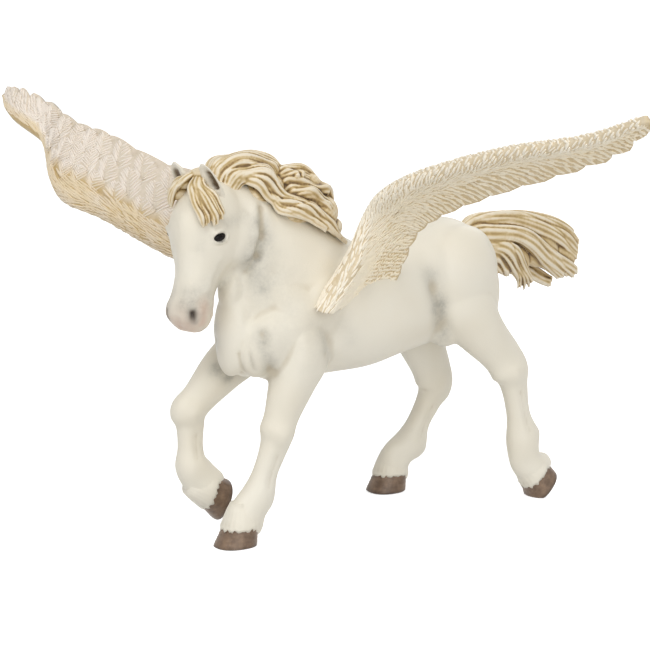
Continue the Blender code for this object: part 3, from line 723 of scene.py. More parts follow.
def wing_point(side, out, forward, up):
    """A place on a wing, measured from the middle of the chest along lines turned with the shoulders."""
    cos, sin = math.cos(shoulder_turn), math.sin(shoulder_turn)
    across = out * side
    return np.array((forward * cos - across * sin, forward * sin + across * cos, withers_height + up))


# Leading edge of each wing from the root: share of the span, forward and up from the withers
wing_leads = {
    "left_wing": [
        (0.10, 26, -18), (0.135, 19.5, -5), (0.165, 15.5, 10), (0.24, 18, 18),
        (0.38, 20.5, 25), (0.60, 23, 32.5), (0.82, 26, 37.5), (1.0, 30, 44.5),
    ],
    "right_wing": [
        (0.09, 22, -15), (0.16, 33, -9), (0.27, 40, -5.7), (0.50, 43.2, 4.2),
        (0.64, 45, 9.5), (0.77, 34.5, 22), (0.90, 36.5, 31.5), (1.0, 30, 37.5),
    ],
}
# From the leading to the trailing edge in shares of the chord: out, forward and up
wing_chords = {
    "left_wing": [
        (0.0, -1.0, 0.0), (0.10, -0.72, -0.04), (0.33, -0.42, -0.17), (0.40, -0.42, -0.217),
        (0.46, -0.42, -0.207), (0.34, -0.43, -0.20), (0.15, -0.32, -0.12), (0.0, -0.12, -0.05),
    ],
    "right_wing": [
        (0.0, -0.95, 0.35), (0.13, -0.70, 0.72), (0.40, -0.33, 0.89), (0.30, -0.42, 0.81),
        (0.20, -0.45, 0.73), (0.23, -0.12, 0.52), (0.05, -0.13, 0.29), (0.0, -0.06, 0.10),
    ],
}
smooth_leads = {name: smooth_rows(rows, 8) for name, rows in wing_leads.items()}
smooth_chords = {name: smooth_rows(rows, 8) for name, rows in wing_chords.items()}


def wing_column(name, share, rows):
    """Upper and lower points of a wing at a share of its span, at each row across the chord."""
    side = 1 if name == "left_wing" else -1
    share = min(max(share, 0.0), 1.0)
    lead_rows, chord_rows = smooth_leads[name], smooth_chords[name]
    lead = at_share(lead_rows, share)
    chord = at_share(chord_rows, share) * wing_chord
    start = wing_point(side, lead[0] * wing_span, lead[1], lead[2])
    end = wing_point(side, lead[0] * wing_span + chord[0], lead[1] + chord[1], lead[2] + chord[2])
    near = at_share(lead_rows, min(share + 0.02, 1)) - at_share(lead_rows, max(share - 0.02, 0))
    along = wing_point(side, near[0] * wing_span, near[1], near[2]) - wing_point(side, 0, 0, 0)
    length = np.linalg.norm(end - start)
    over = unit(np.cross(along, end - start)) * side
    part = share * feather_count % 1
    notch = inner_notch + (tip_notch * (1 if side > 0 else 1.5) - inner_notch) * max(share - 0.6, 0) / 0.4
    lobe = min(notch, length * 0.3) * (max(math.sin(math.pi * part), 0) ** 0.6 - 0.5)
    thick = wing_edge + (wing_thickness - wing_edge) * (1 - share) ** 0.8
    beyond = np.maximum(rows - covert_share, 0) / (1 - covert_share)
    reach = rows * length + lobe * beyond
    middle = start + unit(end - start) * reach[:, None]
    middle += over * (wing_camber * 4 * rows * (1 - rows) * (1 - share))[:, None]
    body = thick * np.minimum(rows / 0.12, 1) ** 0.5 * np.maximum(1 - rows, 0) ** 0.8 / 2
    half = np.maximum(body, wing_edge / 2 * np.minimum(rows / 0.05 + 0.3, 1))
    # The feathers run out towards the tip, so the same feather lies further in nearer the leading edge
    sweep = 1.2 + 1.6 * share
    lane = (share * feather_count + sweep * (1 - rows)) % 1
    scaled = scale_share(name, share, rows)
    blade = np.clip(beyond / 0.25, 0, 1) * (1 - scaled)
    laid = feather_step * (lane - 0.5) * blade + scale_step * (scale_at(share, rows)[1] - 0.5) * scaled
    shaft = 0.22 * np.exp(-(((lane - 0.5) / 0.07) ** 2)) * blade
    edge = covert_share + 0.045 * np.abs(math.sin(math.pi * share * feather_count * 1.5))
    first = 0.17 + 0.035 * np.abs(math.sin(math.pi * share * feather_count * 2 + 0.7))
    shelf = covert_step * 0.8 / (1 + np.exp((rows - edge) * 60)) + 0.35 / (1 + np.exp((rows - first) * 70))
    shelf *= np.minimum(rows / 0.1, 1)
    gap = sum(
        depth * np.exp(-(((share - at) / length) ** 2) - ((rows - row - (share - at) * lean) / 0.028) ** 2)
        for at, length, row, lean, depth in leaf_gaps[name]
    )
    upper = middle + over * (half + laid * 0.5 + shelf * 0.5 + shaft - gap)[:, None]
    lower = middle - over * (half - laid * 0.5 + shelf * 0.5 + shaft - gap)[:, None]
    return upper, lower


def scale_share(name, share, rows):
    """How far the small overlapping feathers, and not the long ones, cover a place: from 0 to 1."""
    if name == "left_wing":
        return rows * 0
    return np.clip((rows - 0.24) / 0.1, 0, 1) * np.clip((0.80 - share) / 0.1, 0, 1)


def scale_at(share, rows):
    """Where a place lies on a small feather: across its shaft, from -0.5 to 0.5, and towards its tip."""
    along = rows * scale_rows
    near = np.floor(along)
    found = []
    for row in (near, near + 1):
        across = (share * scale_count + 0.5 * (row % 2)) % 1 - 0.5
        found.append((across, row + 1 - 0.45 * (2 * across) ** 2))
    inside = along < found[0][1]
    across, end = np.where(inside, found[0][0], found[1][0]), np.where(inside, found[0][1], found[1][1])
    return across, np.clip(1 - (end - along) / 1.45, 0, 1)


# Leaf-shaped gaps between feathers: share of the span, length, row, lean of the row and depth
leaf_gaps = {
    "left_wing": [(0.325, 0.022, 0.46, 2.4, 0.9), (0.585, 0.018, 0.60, -1.0, 0.7)],
    "right_wing": [(0.58, 0.03, 0.25, 1.2, 0.5), (0.42, 0.03, 0.26, 0.5, 0.5)],
}
# Rows of points across the chord, and places across each long feather where the blade has a loop
wing_rows = np.concatenate([[0.0, 0.012, 0.03], np.linspace(0.055, 0.97, 46), [0.985, 1.0]])
blade_parts = (0.015, 0.07, 0.14, 0.21, 0.28, 0.35, 0.42, 0.5, 0.58, 0.65, 0.72, 0.79, 0.86, 0.93, 0.985)


def wing_mesh(name):
    """The blade of a wing, thick along the front, with feathers that lie over each other."""
    loops = []
    for feather in range(feather_count):
        for part in blade_parts:
            upper, lower = wing_column(name, (feather + part) / feather_count, wing_rows)
            loops.append(np.vstack([upper, lower[::-1]]))
    points, faces = loft(loops)
    return mesh_of(name, points, faces)


def wing_grid(name):
    """Points of both faces of a wing over its shares and rows."""
    return np.array([wing_column(name, share, wing_rows) for share in np.linspace(0, 1, 241)])


def on_grid(grid, face, shares, rows):
    """Places on a face of a wing, between the points of its grid."""
    across = np.clip(shares, 0, 1) * (len(grid) - 1)
    along = np.interp(rows, wing_rows, np.arange(len(wing_rows)))
    left = np.minimum(across.astype(int), len(grid) - 2)
    low = np.minimum(along.astype(int), len(wing_rows) - 2)
    right_part, high_part = (across - left)[:, None], (along - low)[:, None]
    near = grid[left, face, low] * (1 - high_part) + grid[left, face, low + 1] * high_part
    far = grid[left + 1, face, low] * (1 - high_part) + grid[left + 1, face, low + 1] * high_part
    return near * (1 - right_part) + far * right_part


def comb_angle(name, share, rows):
    """The way the barbs lie, in degrees from the chord towards the tip."""
    if name == "right_wing":
        hand = np.interp(rows, (0, 0.2, 0.5, 0.8, 1), (88, 80, 55, 22, 8))
        arm = np.interp(rows, (0, 0.14, 0.3, 1), (96, 82, 70, 62))
        part = min(max((share - 0.68) / 0.1, 0), 1)
    else:
        hand = np.interp(rows, (0, 0.25, 0.34, 0.5, 0.62, 1), (122, 112, 94, 84, 30, -4))
        arm = np.interp(rows, (0, 0.26, 0.42, 0.75, 1), (96, 42, 58, 62, 40))
        part = min(max((share - 0.24) / 0.12, 0), 1)
    return arm + (hand - arm) * part


def comb_rows(name, surface, random):
    """Barbs in ordered rows: share of the span, row, angle and length of each."""
    found = []
    reach = np.linalg.norm(np.diff(surface[:, 10], axis=0), axis=1).sum()
    for index, share in enumerate(np.arange(0.012, 0.985, 2.1 / reach)):
        column = surface[int(share * (len(surface) - 1))]
        chord = np.linalg.norm(np.diff(column, axis=0), axis=1).sum()
        count = max(int(chord / barb_gap), 3)
        arc = np.concatenate([[0], np.cumsum(np.linalg.norm(np.diff(column, axis=0), axis=1))])
        rows = np.interp((np.arange(count) + (0.25 if index % 2 else 0.75)) / count * chord, arc, wing_rows)
        rows += random.normal(0, 0.1 / count, count)
        angles = comb_angle(name, share, rows) + random.normal(0, 5, count)
        curls = (share < 0.2) * (rows > 0.55) * (name == "left_wing")
        angles += curls * random.normal(0, 28, count)
        long = random.uniform(0.85, 1.2, count)
        long *= np.interp(rows, (0, 0.2, 0.35, 0.55, 1), (2.9, 3.4, 4.2, 3.0, 2.7))
        if name == "right_wing":
            long *= np.interp(rows, (0, 0.1, 0.3, 0.4), (1.0, 1.5, 1.5, 0.9))
        long *= np.where(curls > 0, 0.6, 1) * np.interp(share, (0.8, 0.95), (1, 0.75))
        tail = 0.5 * long * np.cos(np.radians(angles)) / chord
        rows = np.clip(rows, 0.004, 0.985 - np.maximum(tail, 0))
        keep = scale_share(name, share, rows) < 0.5
        if name == "left_wing":
            keep &= ~((rows < 0.24) & (share < 0.235) & (share > 0.05) & (random.uniform(size=count) < 0.5))
        else:
            keep &= ~((rows < 0.16) & (share > 0.74))
        for at, length, row, lean, _ in leaf_gaps[name]:
            keep &= ((share - at) / length) ** 2 + ((rows - row - (share - at) * lean) / 0.03) ** 2 > 0.8
        shares = share + random.normal(0, 0.0015, count)
        found.append(np.column_stack([shares, rows, angles, long])[keep])
    return np.vstack(found)


def comb_scales(name, chord, reach, random):
    """Barbs from the shaft of each small feather to its edge, on both sides, as far as they show."""
    found = []
    turn = math.radians(50)
    steps = np.arange(0, 5.6, 0.2)
    for level in range(scale_rows + 1):
        for cell in range(scale_count + 1):
            share = (cell + 0.5 - 0.5 * (level % 2)) / scale_count
            bend = random.normal(0, 5)
            for start in np.arange(level - 1.1, level + 0.97, barb_gap / math.sin(turn) * scale_rows / chord):
                for side in (-1, 1):
                    across = steps * math.sin(turn) * scale_count / reach
                    along = start + random.normal(0, 0.012) + steps * math.cos(turn) * scale_rows / chord
                    shown = (along < level + 0.97 - 0.45 * (2 * across) ** 2) & (across < 0.49)
                    shown &= along > level - 0.45 * (1 - 2 * across) ** 2
                    if shown.sum() < 3:
                        continue
                    low, high = steps[shown][0], steps[shown][-1]
                    middle = (low + high) / 2
                    place = share + side * middle * math.sin(turn) / reach
                    row = np.interp(middle, steps, along) / scale_rows
                    angle = side * 50 + bend + random.normal(0, 4)
                    found.append((place, row, angle, high - low + 0.5))
    found = np.array(found)
    shares, rows = found[:, 0], found[:, 1]
    keep = (shares > 0.02) & (rows > 0.2) & (scale_share(name, shares, rows) >= 0.5)
    keep &= rows + 0.32 * found[:, 3] / chord < 0.985
    return found[keep]


def barb_guides(name, face, seed):
    """A mesh of points on one face of a wing, each with the lie, the way out and the length of its barb."""
    random = np.random.default_rng(seed)
    grid = wing_grid(name)
    barbs = comb_rows(name, grid[:, face], random)
    if name == "right_wing":
        barbs = np.vstack([barbs, comb_scales(name, wing_chord, 150.0, random)])
    shares, rows, angles, reach = barbs.T
    place = on_grid(grid, face, shares, rows)
    out = unit(on_grid(grid, face, shares + 0.006, rows) - on_grid(grid, face, shares - 0.006, rows))
    ahead = on_grid(grid, face, shares, np.maximum(rows - 0.03, 0))
    back = unit(on_grid(grid, face, shares, np.minimum(rows + 0.03, 1)) - ahead)
    rise = unit(np.cross(out, back))
    inward = on_grid(grid, 1 - face, shares, rows) - place
    rise *= -np.sign(np.einsum("ij,ij->i", rise, inward))[:, None]
    turn = np.radians(angles)[:, None]
    lie = unit(back * np.cos(turn) + out * np.sin(turn))
    mesh = bpy.data.meshes.new(name)
    mesh.from_pydata((place * MM).tolist(), [], [])
    mark_ways(mesh, "lie", lie)
    mark_ways(mesh, "out", rise)
    mark(mesh, "reach", reach * MM)
    mark(mesh, "row", rows)
    return mesh


class Wires:
    """Builds one node tree, for a paint or for a shape."""

    def __init__(self, tree):
        self.tree = tree

    def node(self, kind, settings=None, **values):
        """A node of this kind: its settings first, then the value or link of each input by name or place."""
        made = self.tree.nodes.new(kind)
        for key, value in (settings or {}).items():
            if key == "stops":
                ramp = made.color_ramp
                while len(ramp.elements) < len(value):
                    ramp.elements.new(0.5)
                for element, (place, colour) in zip(ramp.elements, value):
                    element.position = place
                    element.color = (*colour, 1) if len(colour) == 3 else colour
            else:
                setattr(made, key, value)
        for key, value in values.items():
            numbered = key[0] == "i" and key[1:].isdigit()
            self.join(made.inputs[int(key[1:]) if numbered else key.replace("_", " ")], value)
        return made

    def join(self, socket, value):
        if isinstance(value, Wire):
            self.tree.links.new(value.socket, socket)
        elif isinstance(value, bpy.types.NodeSocket):
            self.tree.links.new(value, socket)
        else:
            socket.default_value = value

    def wire(self, socket):
        return Wire(self, socket)


class Wire:
    """A number on its way through a node tree, so that sums can be written as sums."""

    def __init__(self, wires, socket):
        self.wires = wires
        self.socket = socket

    def worked(self, operation, *others, clamp=False):
        """The result of a Math node on these values."""
        values = {f"i{index}": value for index, value in enumerate(others)}
        made = self.wires.node("ShaderNodeMath", {"operation": operation, "use_clamp": clamp}, **values)
        return Wire(self.wires, made.outputs[0])

    def __add__(self, other):
        return self.worked("ADD", self, other)

    __radd__ = __add__

    def __mul__(self, other):
        return self.worked("MULTIPLY", self, other)

    __rmul__ = __mul__

    def __sub__(self, other):
        return self.worked("SUBTRACT", self, other)

    def __rsub__(self, other):
        return self.worked("SUBTRACT", other, self)

    def __truediv__(self, other):
        return self.worked("DIVIDE", self, other)

    def clamped(self):
        return self.worked("ADD", self, 0.0, clamp=True)

    def cosine(self):
        return self.worked("COSINE", self)

    def or_greater(self, other):
        return self.worked("MAXIMUM", self, other)


def paint(name, colour, roughness):
    """A paint with its tree of nodes, ready to be given what changes over the surface."""
    made = bpy.data.materials.new(name)
    made.use_nodes = True
    wires = Wires(made.node_tree)
    shader = made.node_tree.nodes["Principled BSDF"]
    shader.inputs["Base Color"].default_value = (*colour, 1)
    shader.inputs["Roughness"].default_value = roughness
    return made, wires, shader


def attribute(wires, name):
    return wires.wire(wires.node("ShaderNodeAttribute", {"attribute_name": name}).outputs["Fac"])


def noise(wires, scale, detail=3.0, roughness=0.5):
    """Noise on object coordinates, with its scale in cycles to the metre."""
    place = wires.node("ShaderNodeTexCoord").outputs["Object"]
    made = wires.node("ShaderNodeTexNoise", {}, Vector=place, Scale=scale, Detail=detail, Roughness=roughness)
    return wires.wire(made.outputs["Fac"])


def mixed(wires, factor, low, high):
    """A colour between two: each is a colour or a link."""
    low = (*low, 1) if isinstance(low, tuple) else low
    high = (*high, 1) if isinstance(high, tuple) else high
    made = wires.node("ShaderNodeMix", {"data_type": "RGBA"}, i0=factor, i6=low, i7=high)
    return made.outputs[2]


def bumped(wires, height, distance):
    """A normal roughened by a height, where distance is in millimetres."""
    made = wires.node("ShaderNodeBump", {}, Height=height, Distance=distance * MM, Strength=1.0)
    return made.outputs["Normal"]


def body_paint():
    made, wires, shader = paint("body_paint", plain_cream, 0.46)
    grain = noise(wires, 1100, 4, 0.7)
    brushed = noise(wires, 320, 3, 0.6)
    cloud = noise(wires, 45, 2)
    cream = mixed(wires, ((cloud - 0.35) * 2.4).clamped(), *body_creams)
    # Grey of the airbrush in the folds, with painted shade over the chest and shoulder
    shade = attribute(wires, "shade")
    grey = (shade * (0.3 + 1.0 * brushed) * (0.4 + 1.1 * grain)).clamped()
    shaded = mixed(wires, grey, cream, airbrush_and_shade_grey)
    pink = mixed(wires, attribute(wires, "pink") * (0.5 + brushed), shaded, lip_pink)
    # Darker brown in the hollows of the skin
    tinted = mixed(wires, attribute(wires, "groove"), pink, hollow_brown)
    colour = mixed(wires, attribute(wires, "dark"), tinted, nostril_brown)
    wires.join(shader.inputs["Base Color"], colour)
    rough = noise(wires, 2600, 2) + noise(wires, 420, 3) * 0.8
    wires.join(shader.inputs["Normal"], bumped(wires, rough, 0.045))
    return made


def wing_paint(name):
    cream, ochre, pale, deep = wing_colours[name]
    made, wires, shader = paint(name + "_paint", cream, 0.56)
    cloud = noise(wires, 150, 3)
    grain = noise(wires, 900, 3, 0.6)
    warm = (attribute(wires, "warm") * (0.3 + 1.4 * cloud)).clamped()
    tinted = mixed(wires, warm, cream, ochre)
    groove = (attribute(wires, "groove") * (0.45 + 1.1 * grain)).clamped()
    low = mixed(wires, warm, pale, deep)
    wires.join(shader.inputs["Base Color"], mixed(wires, groove, tinted, low))
    wires.join(shader.inputs["Normal"], bumped(wires, noise(wires, 2200, 2), 0.05))
    return made


def hair_paint():
    made, wires, shader = paint("hair_paint", hair_cream, 0.5)
    cloud = noise(wires, 170, 3)
    grain = noise(wires, 900, 3, 0.6)
    depth = attribute(wires, "groove") * (0.62 + 0.5 * grain)
    # Painted shade where short rays from the surface meet other locks, added to the ochre of the grooves
    depth = (depth + (cloud - 0.5) * 0.5 + attribute(wires, "deep") * 0.30).clamped()
    ramp = wires.node("ShaderNodeValToRGB", {"stops": hair_colours}, Fac=depth)
    wires.join(shader.inputs["Base Color"], ramp.outputs["Color"])
    wires.join(shader.inputs["Normal"], bumped(wires, noise(wires, 1800, 2), 0.05))
    return made


def hoof_paint():
    made, wires, shader = paint("hoof_paint", hoof_brown, 0.42)
    grain = noise(wires, 350, 4, 0.6)
    brown = mixed(wires, ((grain - 0.35) * 2.2).clamped(), *hoof_browns)
    # Painted shade at the top and bottom of each hoof, lighter as a painted highlight in between
    colour = mixed(wires, attribute(wires, "dark"), brown, hoof_shade_brown)
    wires.join(shader.inputs["Base Color"], colour)
    return made


def eye_paint():
    made, _, shader = paint("eye_paint", eye_black, 0.25)
    shader.inputs["Specular IOR Level"].default_value = 0.12
    return made


def ear_paint():
    made, wires, shader = paint("ear_paint", plain_cream, 0.5)
    grain = noise(wires, 900, 4, 0.65)
    inside = (attribute(wires, "inside") * (0.55 + 0.9 * grain)).clamped()
    wires.join(shader.inputs["Base Color"], mixed(wires, inside, plain_cream, ear_brown))
    return made


def shape_tree(name, inputs):
    """A geometry tree with these named inputs, each a socket type and a value."""
    tree = bpy.data.node_groups.new(name, "GeometryNodeTree")
    tree.interface.new_socket("Geometry", in_out="INPUT", socket_type="NodeSocketGeometry")
    for label, (kind, value) in inputs.items():
        socket = tree.interface.new_socket(label, in_out="INPUT", socket_type=kind)
        if value is not None:
            socket.default_value = value
    tree.interface.new_socket("Geometry", in_out="OUTPUT", socket_type="NodeSocketGeometry")
    wires = Wires(tree)
    given = {socket.name: socket for socket in wires.node("NodeGroupInput").outputs}
    return tree, wires, given


def stored(wires, name, kind="FLOAT"):
    """An attribute of the guides, as a link."""
    return wires.node("GeometryNodeInputNamedAttribute", {"data_type": kind}, Name=name).outputs["Attribute"]


def lock_tree(name):
    """Sweeps a section with strand ridges along each path, as wide as the path's girth says."""
    tree, wires, given = shape_tree(
        name,
        {
            "Sides": ("NodeSocketInt", 20),
            "Strands": ("NodeSocketFloat", 4.0),
            "Strand Depth": ("NodeSocketFloat", 0.16),
            "Flatness": ("NodeSocketFloat", 0.7),
        },
    )
    curve = wires.node("GeometryNodeMeshToCurve", {}, Mesh=given["Geometry"]).outputs["Curve"]
    broad = stored(wires, "broad", "FLOAT_VECTOR")
    turned = wires.node("GeometryNodeSetCurveNormal", {"mode": "FREE"}, Curve=curve, Normal=broad).outputs[0]
    circle = wires.node(
        "GeometryNodeCurvePrimitiveCircle", {"mode": "RADIUS"}, Resolution=given["Sides"], Radius=0.5
    ).outputs["Curve"]
    index = wires.wire(wires.node("GeometryNodeInputIndex").outputs[0])
    turn = index * math.tau * wires.wire(given["Strands"]) / given["Sides"]
    ridge = turn.cosine()
    place = wires.node("GeometryNodeInputPosition").outputs[0]
    flat = wires.node("ShaderNodeCombineXYZ", {}, X=1.0, Y=given["Flatness"], Z=1.0).outputs[0]
    pressed = wires.node("ShaderNodeVectorMath", {"operation": "MULTIPLY"}, i0=place, i1=flat).outputs[0]
    swell = ridge * wires.wire(given["Strand Depth"]) + 1.0
    ridged = wires.node("ShaderNodeVectorMath", {"operation": "SCALE"}, i0=pressed, Scale=swell).outputs[0]
    section = wires.node("GeometryNodeSetPosition", {}, Geometry=circle, Position=ridged).outputs[0]
    girth = stored(wires, "girth")
    swept = wires.node(
        "GeometryNodeCurveToMesh", {}, Curve=turned, Profile_Curve=section, Scale=girth, Fill_Caps=True
    ).outputs[0]
    whole = wires.node("GeometryNodeRealizeInstances", {}, Geometry=swept).outputs[0]
    whole = wires.node("GeometryNodeSetMaterial", {}, Geometry=whole).outputs[0]
    wires.node("NodeGroupOutput", {}, Geometry=whole)
    return tree


def barb_tree():
    """Lays one slender ridge at each point, along its lie and out of its surface."""
    tree, wires, given = shape_tree(
        "feather_barbs",
        {
            "Width": ("NodeSocketFloat", 0.0006),
            "Height": ("NodeSocketFloat", 0.0004),
            "Seed": ("NodeSocketInt", 7),
            "Finish": ("NodeSocketMaterial", None),
        },
    )
    grain = wires.node("GeometryNodeMeshUVSphere", {}, Segments=6, Rings=4, Radius=0.5).outputs["Mesh"]
    laid_down = (0.0, math.pi / 2, 0.0)
    grain = wires.node("GeometryNodeTransform", {}, Geometry=grain, Rotation=laid_down).outputs[0]
    turn = wires.node(
        "FunctionNodeAxesToRotation",
        {"primary_axis": "X", "secondary_axis": "Z"},
        Primary_Axis=stored(wires, "lie", "FLOAT_VECTOR"),
        Secondary_Axis=stored(wires, "out", "FLOAT_VECTOR"),
    ).outputs[0]
    vary = wires.node("FunctionNodeRandomValue", {"data_type": "FLOAT"}, i2=0.75, i3=1.25, Seed=given["Seed"])
    width = wires.wire(given["Width"]) * wires.wire(vary.outputs[1])
    reach = stored(wires, "reach")
    size = wires.node("ShaderNodeCombineXYZ", {}, X=reach, Y=width, Z=given["Height"]).outputs[0]
    laid = wires.node(
        "GeometryNodeInstanceOnPoints",
        {},
        Points=given["Geometry"],
        Instance=grain,
        Rotation=turn,
        Scale=size,
    ).outputs[0]
    whole = wires.node("GeometryNodeRealizeInstances", {}, Geometry=laid).outputs[0]
    whole = wires.node("GeometryNodeSetMaterial", {}, Geometry=whole, Material=given["Finish"]).outputs[0]
    wires.node("NodeGroupOutput", {}, Geometry=whole)
    return tree


def grown(name, mesh, tree, values):
    """The plain mesh that a geometry tree grows from a mesh of guides."""
    guide = link(name + "_guide", mesh)
    grow = guide.modifiers.new("grow", "NODES")
    grow.node_group = tree
    for socket in tree.interface.items_tree:
        if socket.in_out == "INPUT" and socket.name in values:
            grow[socket.identifier] = values[socket.name]
    graph = bpy.context.evaluated_depsgraph_get()
    made = bpy.data.meshes.new_from_object(guide.evaluated_get(graph))
    bpy.data.objects.remove(guide)
    return made


# Guides of the hair, from the root to the tip. Between the guides of a bundle lie its other locks.
mane_bundles = [
    (8, [
        [
            (49.5, 3, 107), (48, 3, 111.6), (44.5, 2.5, 113.6), (39, 1.5, 114.2), (33, 1, 114),
            (27.6, 0.5, 113.2), (24.7, 0.5, 110.4), (24.6, 1, 106),
        ],
        [
            (49, 4.5, 106), (48, 4.8, 110.4), (44.7, 4.5, 112.6), (39.7, 4.5, 113.2), (34, 4, 112.8),
            (29.9, 3.5, 111.3), (27.4, 3, 108.6), (26.4, 3.5, 104.6),
        ],
        [
            (48, 5.5, 105), (46.8, 6.2, 109), (44.2, 6.6, 110.8), (40.5, 6.8, 111.8), (36, 6.5, 111.4),
            (32, 5.8, 110), (29.4, 5.4, 107.2), (27.2, 6.2, 102.8),
        ],
    ]),
    (8, [
        [
            (46.5, 6.3, 106), (45.5, 7, 109.6), (41, 7.8, 110.6), (37, 8, 111.2), (32.8, 7.8, 109.6),
            (29.8, 7.8, 106.3), (27, 8, 103), (22, 7.6, 100.6), (15.7, 6.5, 98.4),
        ],
        [
            (45, 6.3, 105), (43, 8, 108), (39.5, 8.8, 109.3), (35.5, 9, 108.5), (32, 9, 106.5),
            (29.2, 9.3, 103.4), (25.5, 9.3, 101), (20, 9, 99), (13.5, 7.5, 96.6),
        ],
        [
            (43, 6.3, 104), (41, 8, 107.5), (38.6, 9, 106.8), (36, 9.4, 104.8), (33.8, 9.8, 102.5),
            (30.5, 10, 100.6), (26.5, 10.4, 99.6), (21, 10.4, 98), (14.6, 9.4, 94.4),
        ],
    ]),
    (8, [
        [
            (37, 8, 105.5), (33.4, 9.8, 102.3), (31.5, 10.4, 99.6), (29.5, 10.9, 97.6),
            (25, 11.4, 96.4), (21, 11.4, 95.6), (17.5, 11.2, 93), (13.7, 10.5, 90),
        ],
        [
            (34, 8.5, 103.5), (30.5, 10, 101), (27, 10.8, 99.3), (23, 11, 98.4), (19, 10.9, 96.8),
            (15.8, 10.6, 94.2), (12.6, 10, 91), (7.4, 9, 87.6),
        ],
        [
            (28, 7, 101.5), (24, 8.6, 100), (20, 8.8, 99.2), (16.4, 8.7, 97.8), (13.3, 8.5, 95.6),
            (10.6, 8.2, 92.6), (8.2, 8, 89.4), (4.6, 8.2, 86.6),
        ],
    ]),
    (7, [
        [
            (27.5, 2.5, 106), (25.8, 2.4, 108.7), (22, 1.6, 109.8), (18, 1, 109), (14, 0.8, 106.8),
            (10.5, 0.8, 104.4), (7.4, 1, 102.2), (6.2, 1.5, 98),
        ],
        [
            (27, 4.5, 104), (25, 5.3, 106.2), (21.3, 5.6, 105.3), (17.5, 5.4, 104), (13.7, 4.8, 103.2),
            (10, 4, 102.4), (8, 3, 100.5), (7, 3, 96),
        ],
    ]),
    (2, [
        [
            (26.4, 3.4, 107.6), (24, 4.4, 108.6), (21.4, 4.6, 108.4), (19.8, 5.0, 107.4),
            (20.4, 5.6, 106.3), (22.4, 5.8, 106), (24.2, 5.8, 106.4),
        ],
        [
            (26.6, 3.8, 106.6), (24, 5.0, 107.6), (22, 5.4, 107.6), (21, 5.6, 107.2),
            (21.4, 5.9, 106.8), (22.6, 6, 106.8), (23.6, 6, 107),
        ],
    ]),
    (6, [
        [
            (26, 5, 102.5), (24, 6.4, 104.3), (20, 6.4, 103.6), (16, 6.3, 102.2), (12.6, 5.8, 100.6),
            (10.2, 5, 98.6), (9, 5, 94),
        ],
        [
            (25, 6, 101), (22.6, 7.4, 101.8), (18.8, 7.5, 101.6), (15.3, 7, 100.3), (12.4, 6.6, 98),
            (10.4, 6.6, 95), (8, 7.4, 90),
        ],
    ]),
    (7, [
        [
            (49.5, 1, 108), (47, -0.5, 112), (42, -1.5, 113.6), (36, -2.4, 113.4), (30, -3, 111),
            (25, -3.4, 106), (19, -3.6, 100), (13, -3.8, 96),
        ],
        [
            (47.5, -2, 105.5), (44, -3.8, 109), (39, -4.6, 110), (33.5, -5, 107.5), (28, -5.4, 103.5),
            (22, -5.8, 99.5), (16, -5.8, 95.6), (10, -5, 91),
        ],
        [
            (45, -3, 102), (41, -5.4, 104), (36, -6.4, 103.5), (31, -6.8, 100.5), (25.5, -7.2, 96.6),
            (19.5, -7.4, 93), (13, -7.2, 89.6), (6, -6, 86.6),
        ],
    ]),
    (6, [
        [
            (28, 0, 105), (24.5, -0.8, 108.6), (19.5, -1.4, 108.6), (14.5, -2, 106), (10, -2.4, 102.6),
            (7.4, -2.2, 97), (5, -1.6, 90), (2.4, -0.5, 86),
        ],
        [
            (27, -2.5, 102), (22.5, -4.4, 104), (17.5, -5, 102.4), (12.5, -5.2, 99), (8.5, -5.2, 95),
            (5, -4.6, 91), (1.5, -3.4, 87.6), (-1.5, -2, 85.6),
        ],
    ]),
]
mane_hearts = [
    ((37, 1.8, 108), (9.5, 4, 4.8), 0), ((30, 1.8, 104.5), (4.6, 4.6, 5.8), 0),
    ((33.5, 1.8, 103.5), (9.5, 7, 5.2), 0.2),
    ((18.5, 1.5, 102.5), (8, 4.4, 5.4), 0.3), ((22, 2, 97), (9.5, 8, 5.5), 0.3),
    ((12.5, 2, 95), (7, 6.6, 6), 0.5),
    ((9, 3, 90), (5, 4.6, 3), 0.6), ((45, 2.5, 107.5), (5, 3.6, 4.4), 0),
]
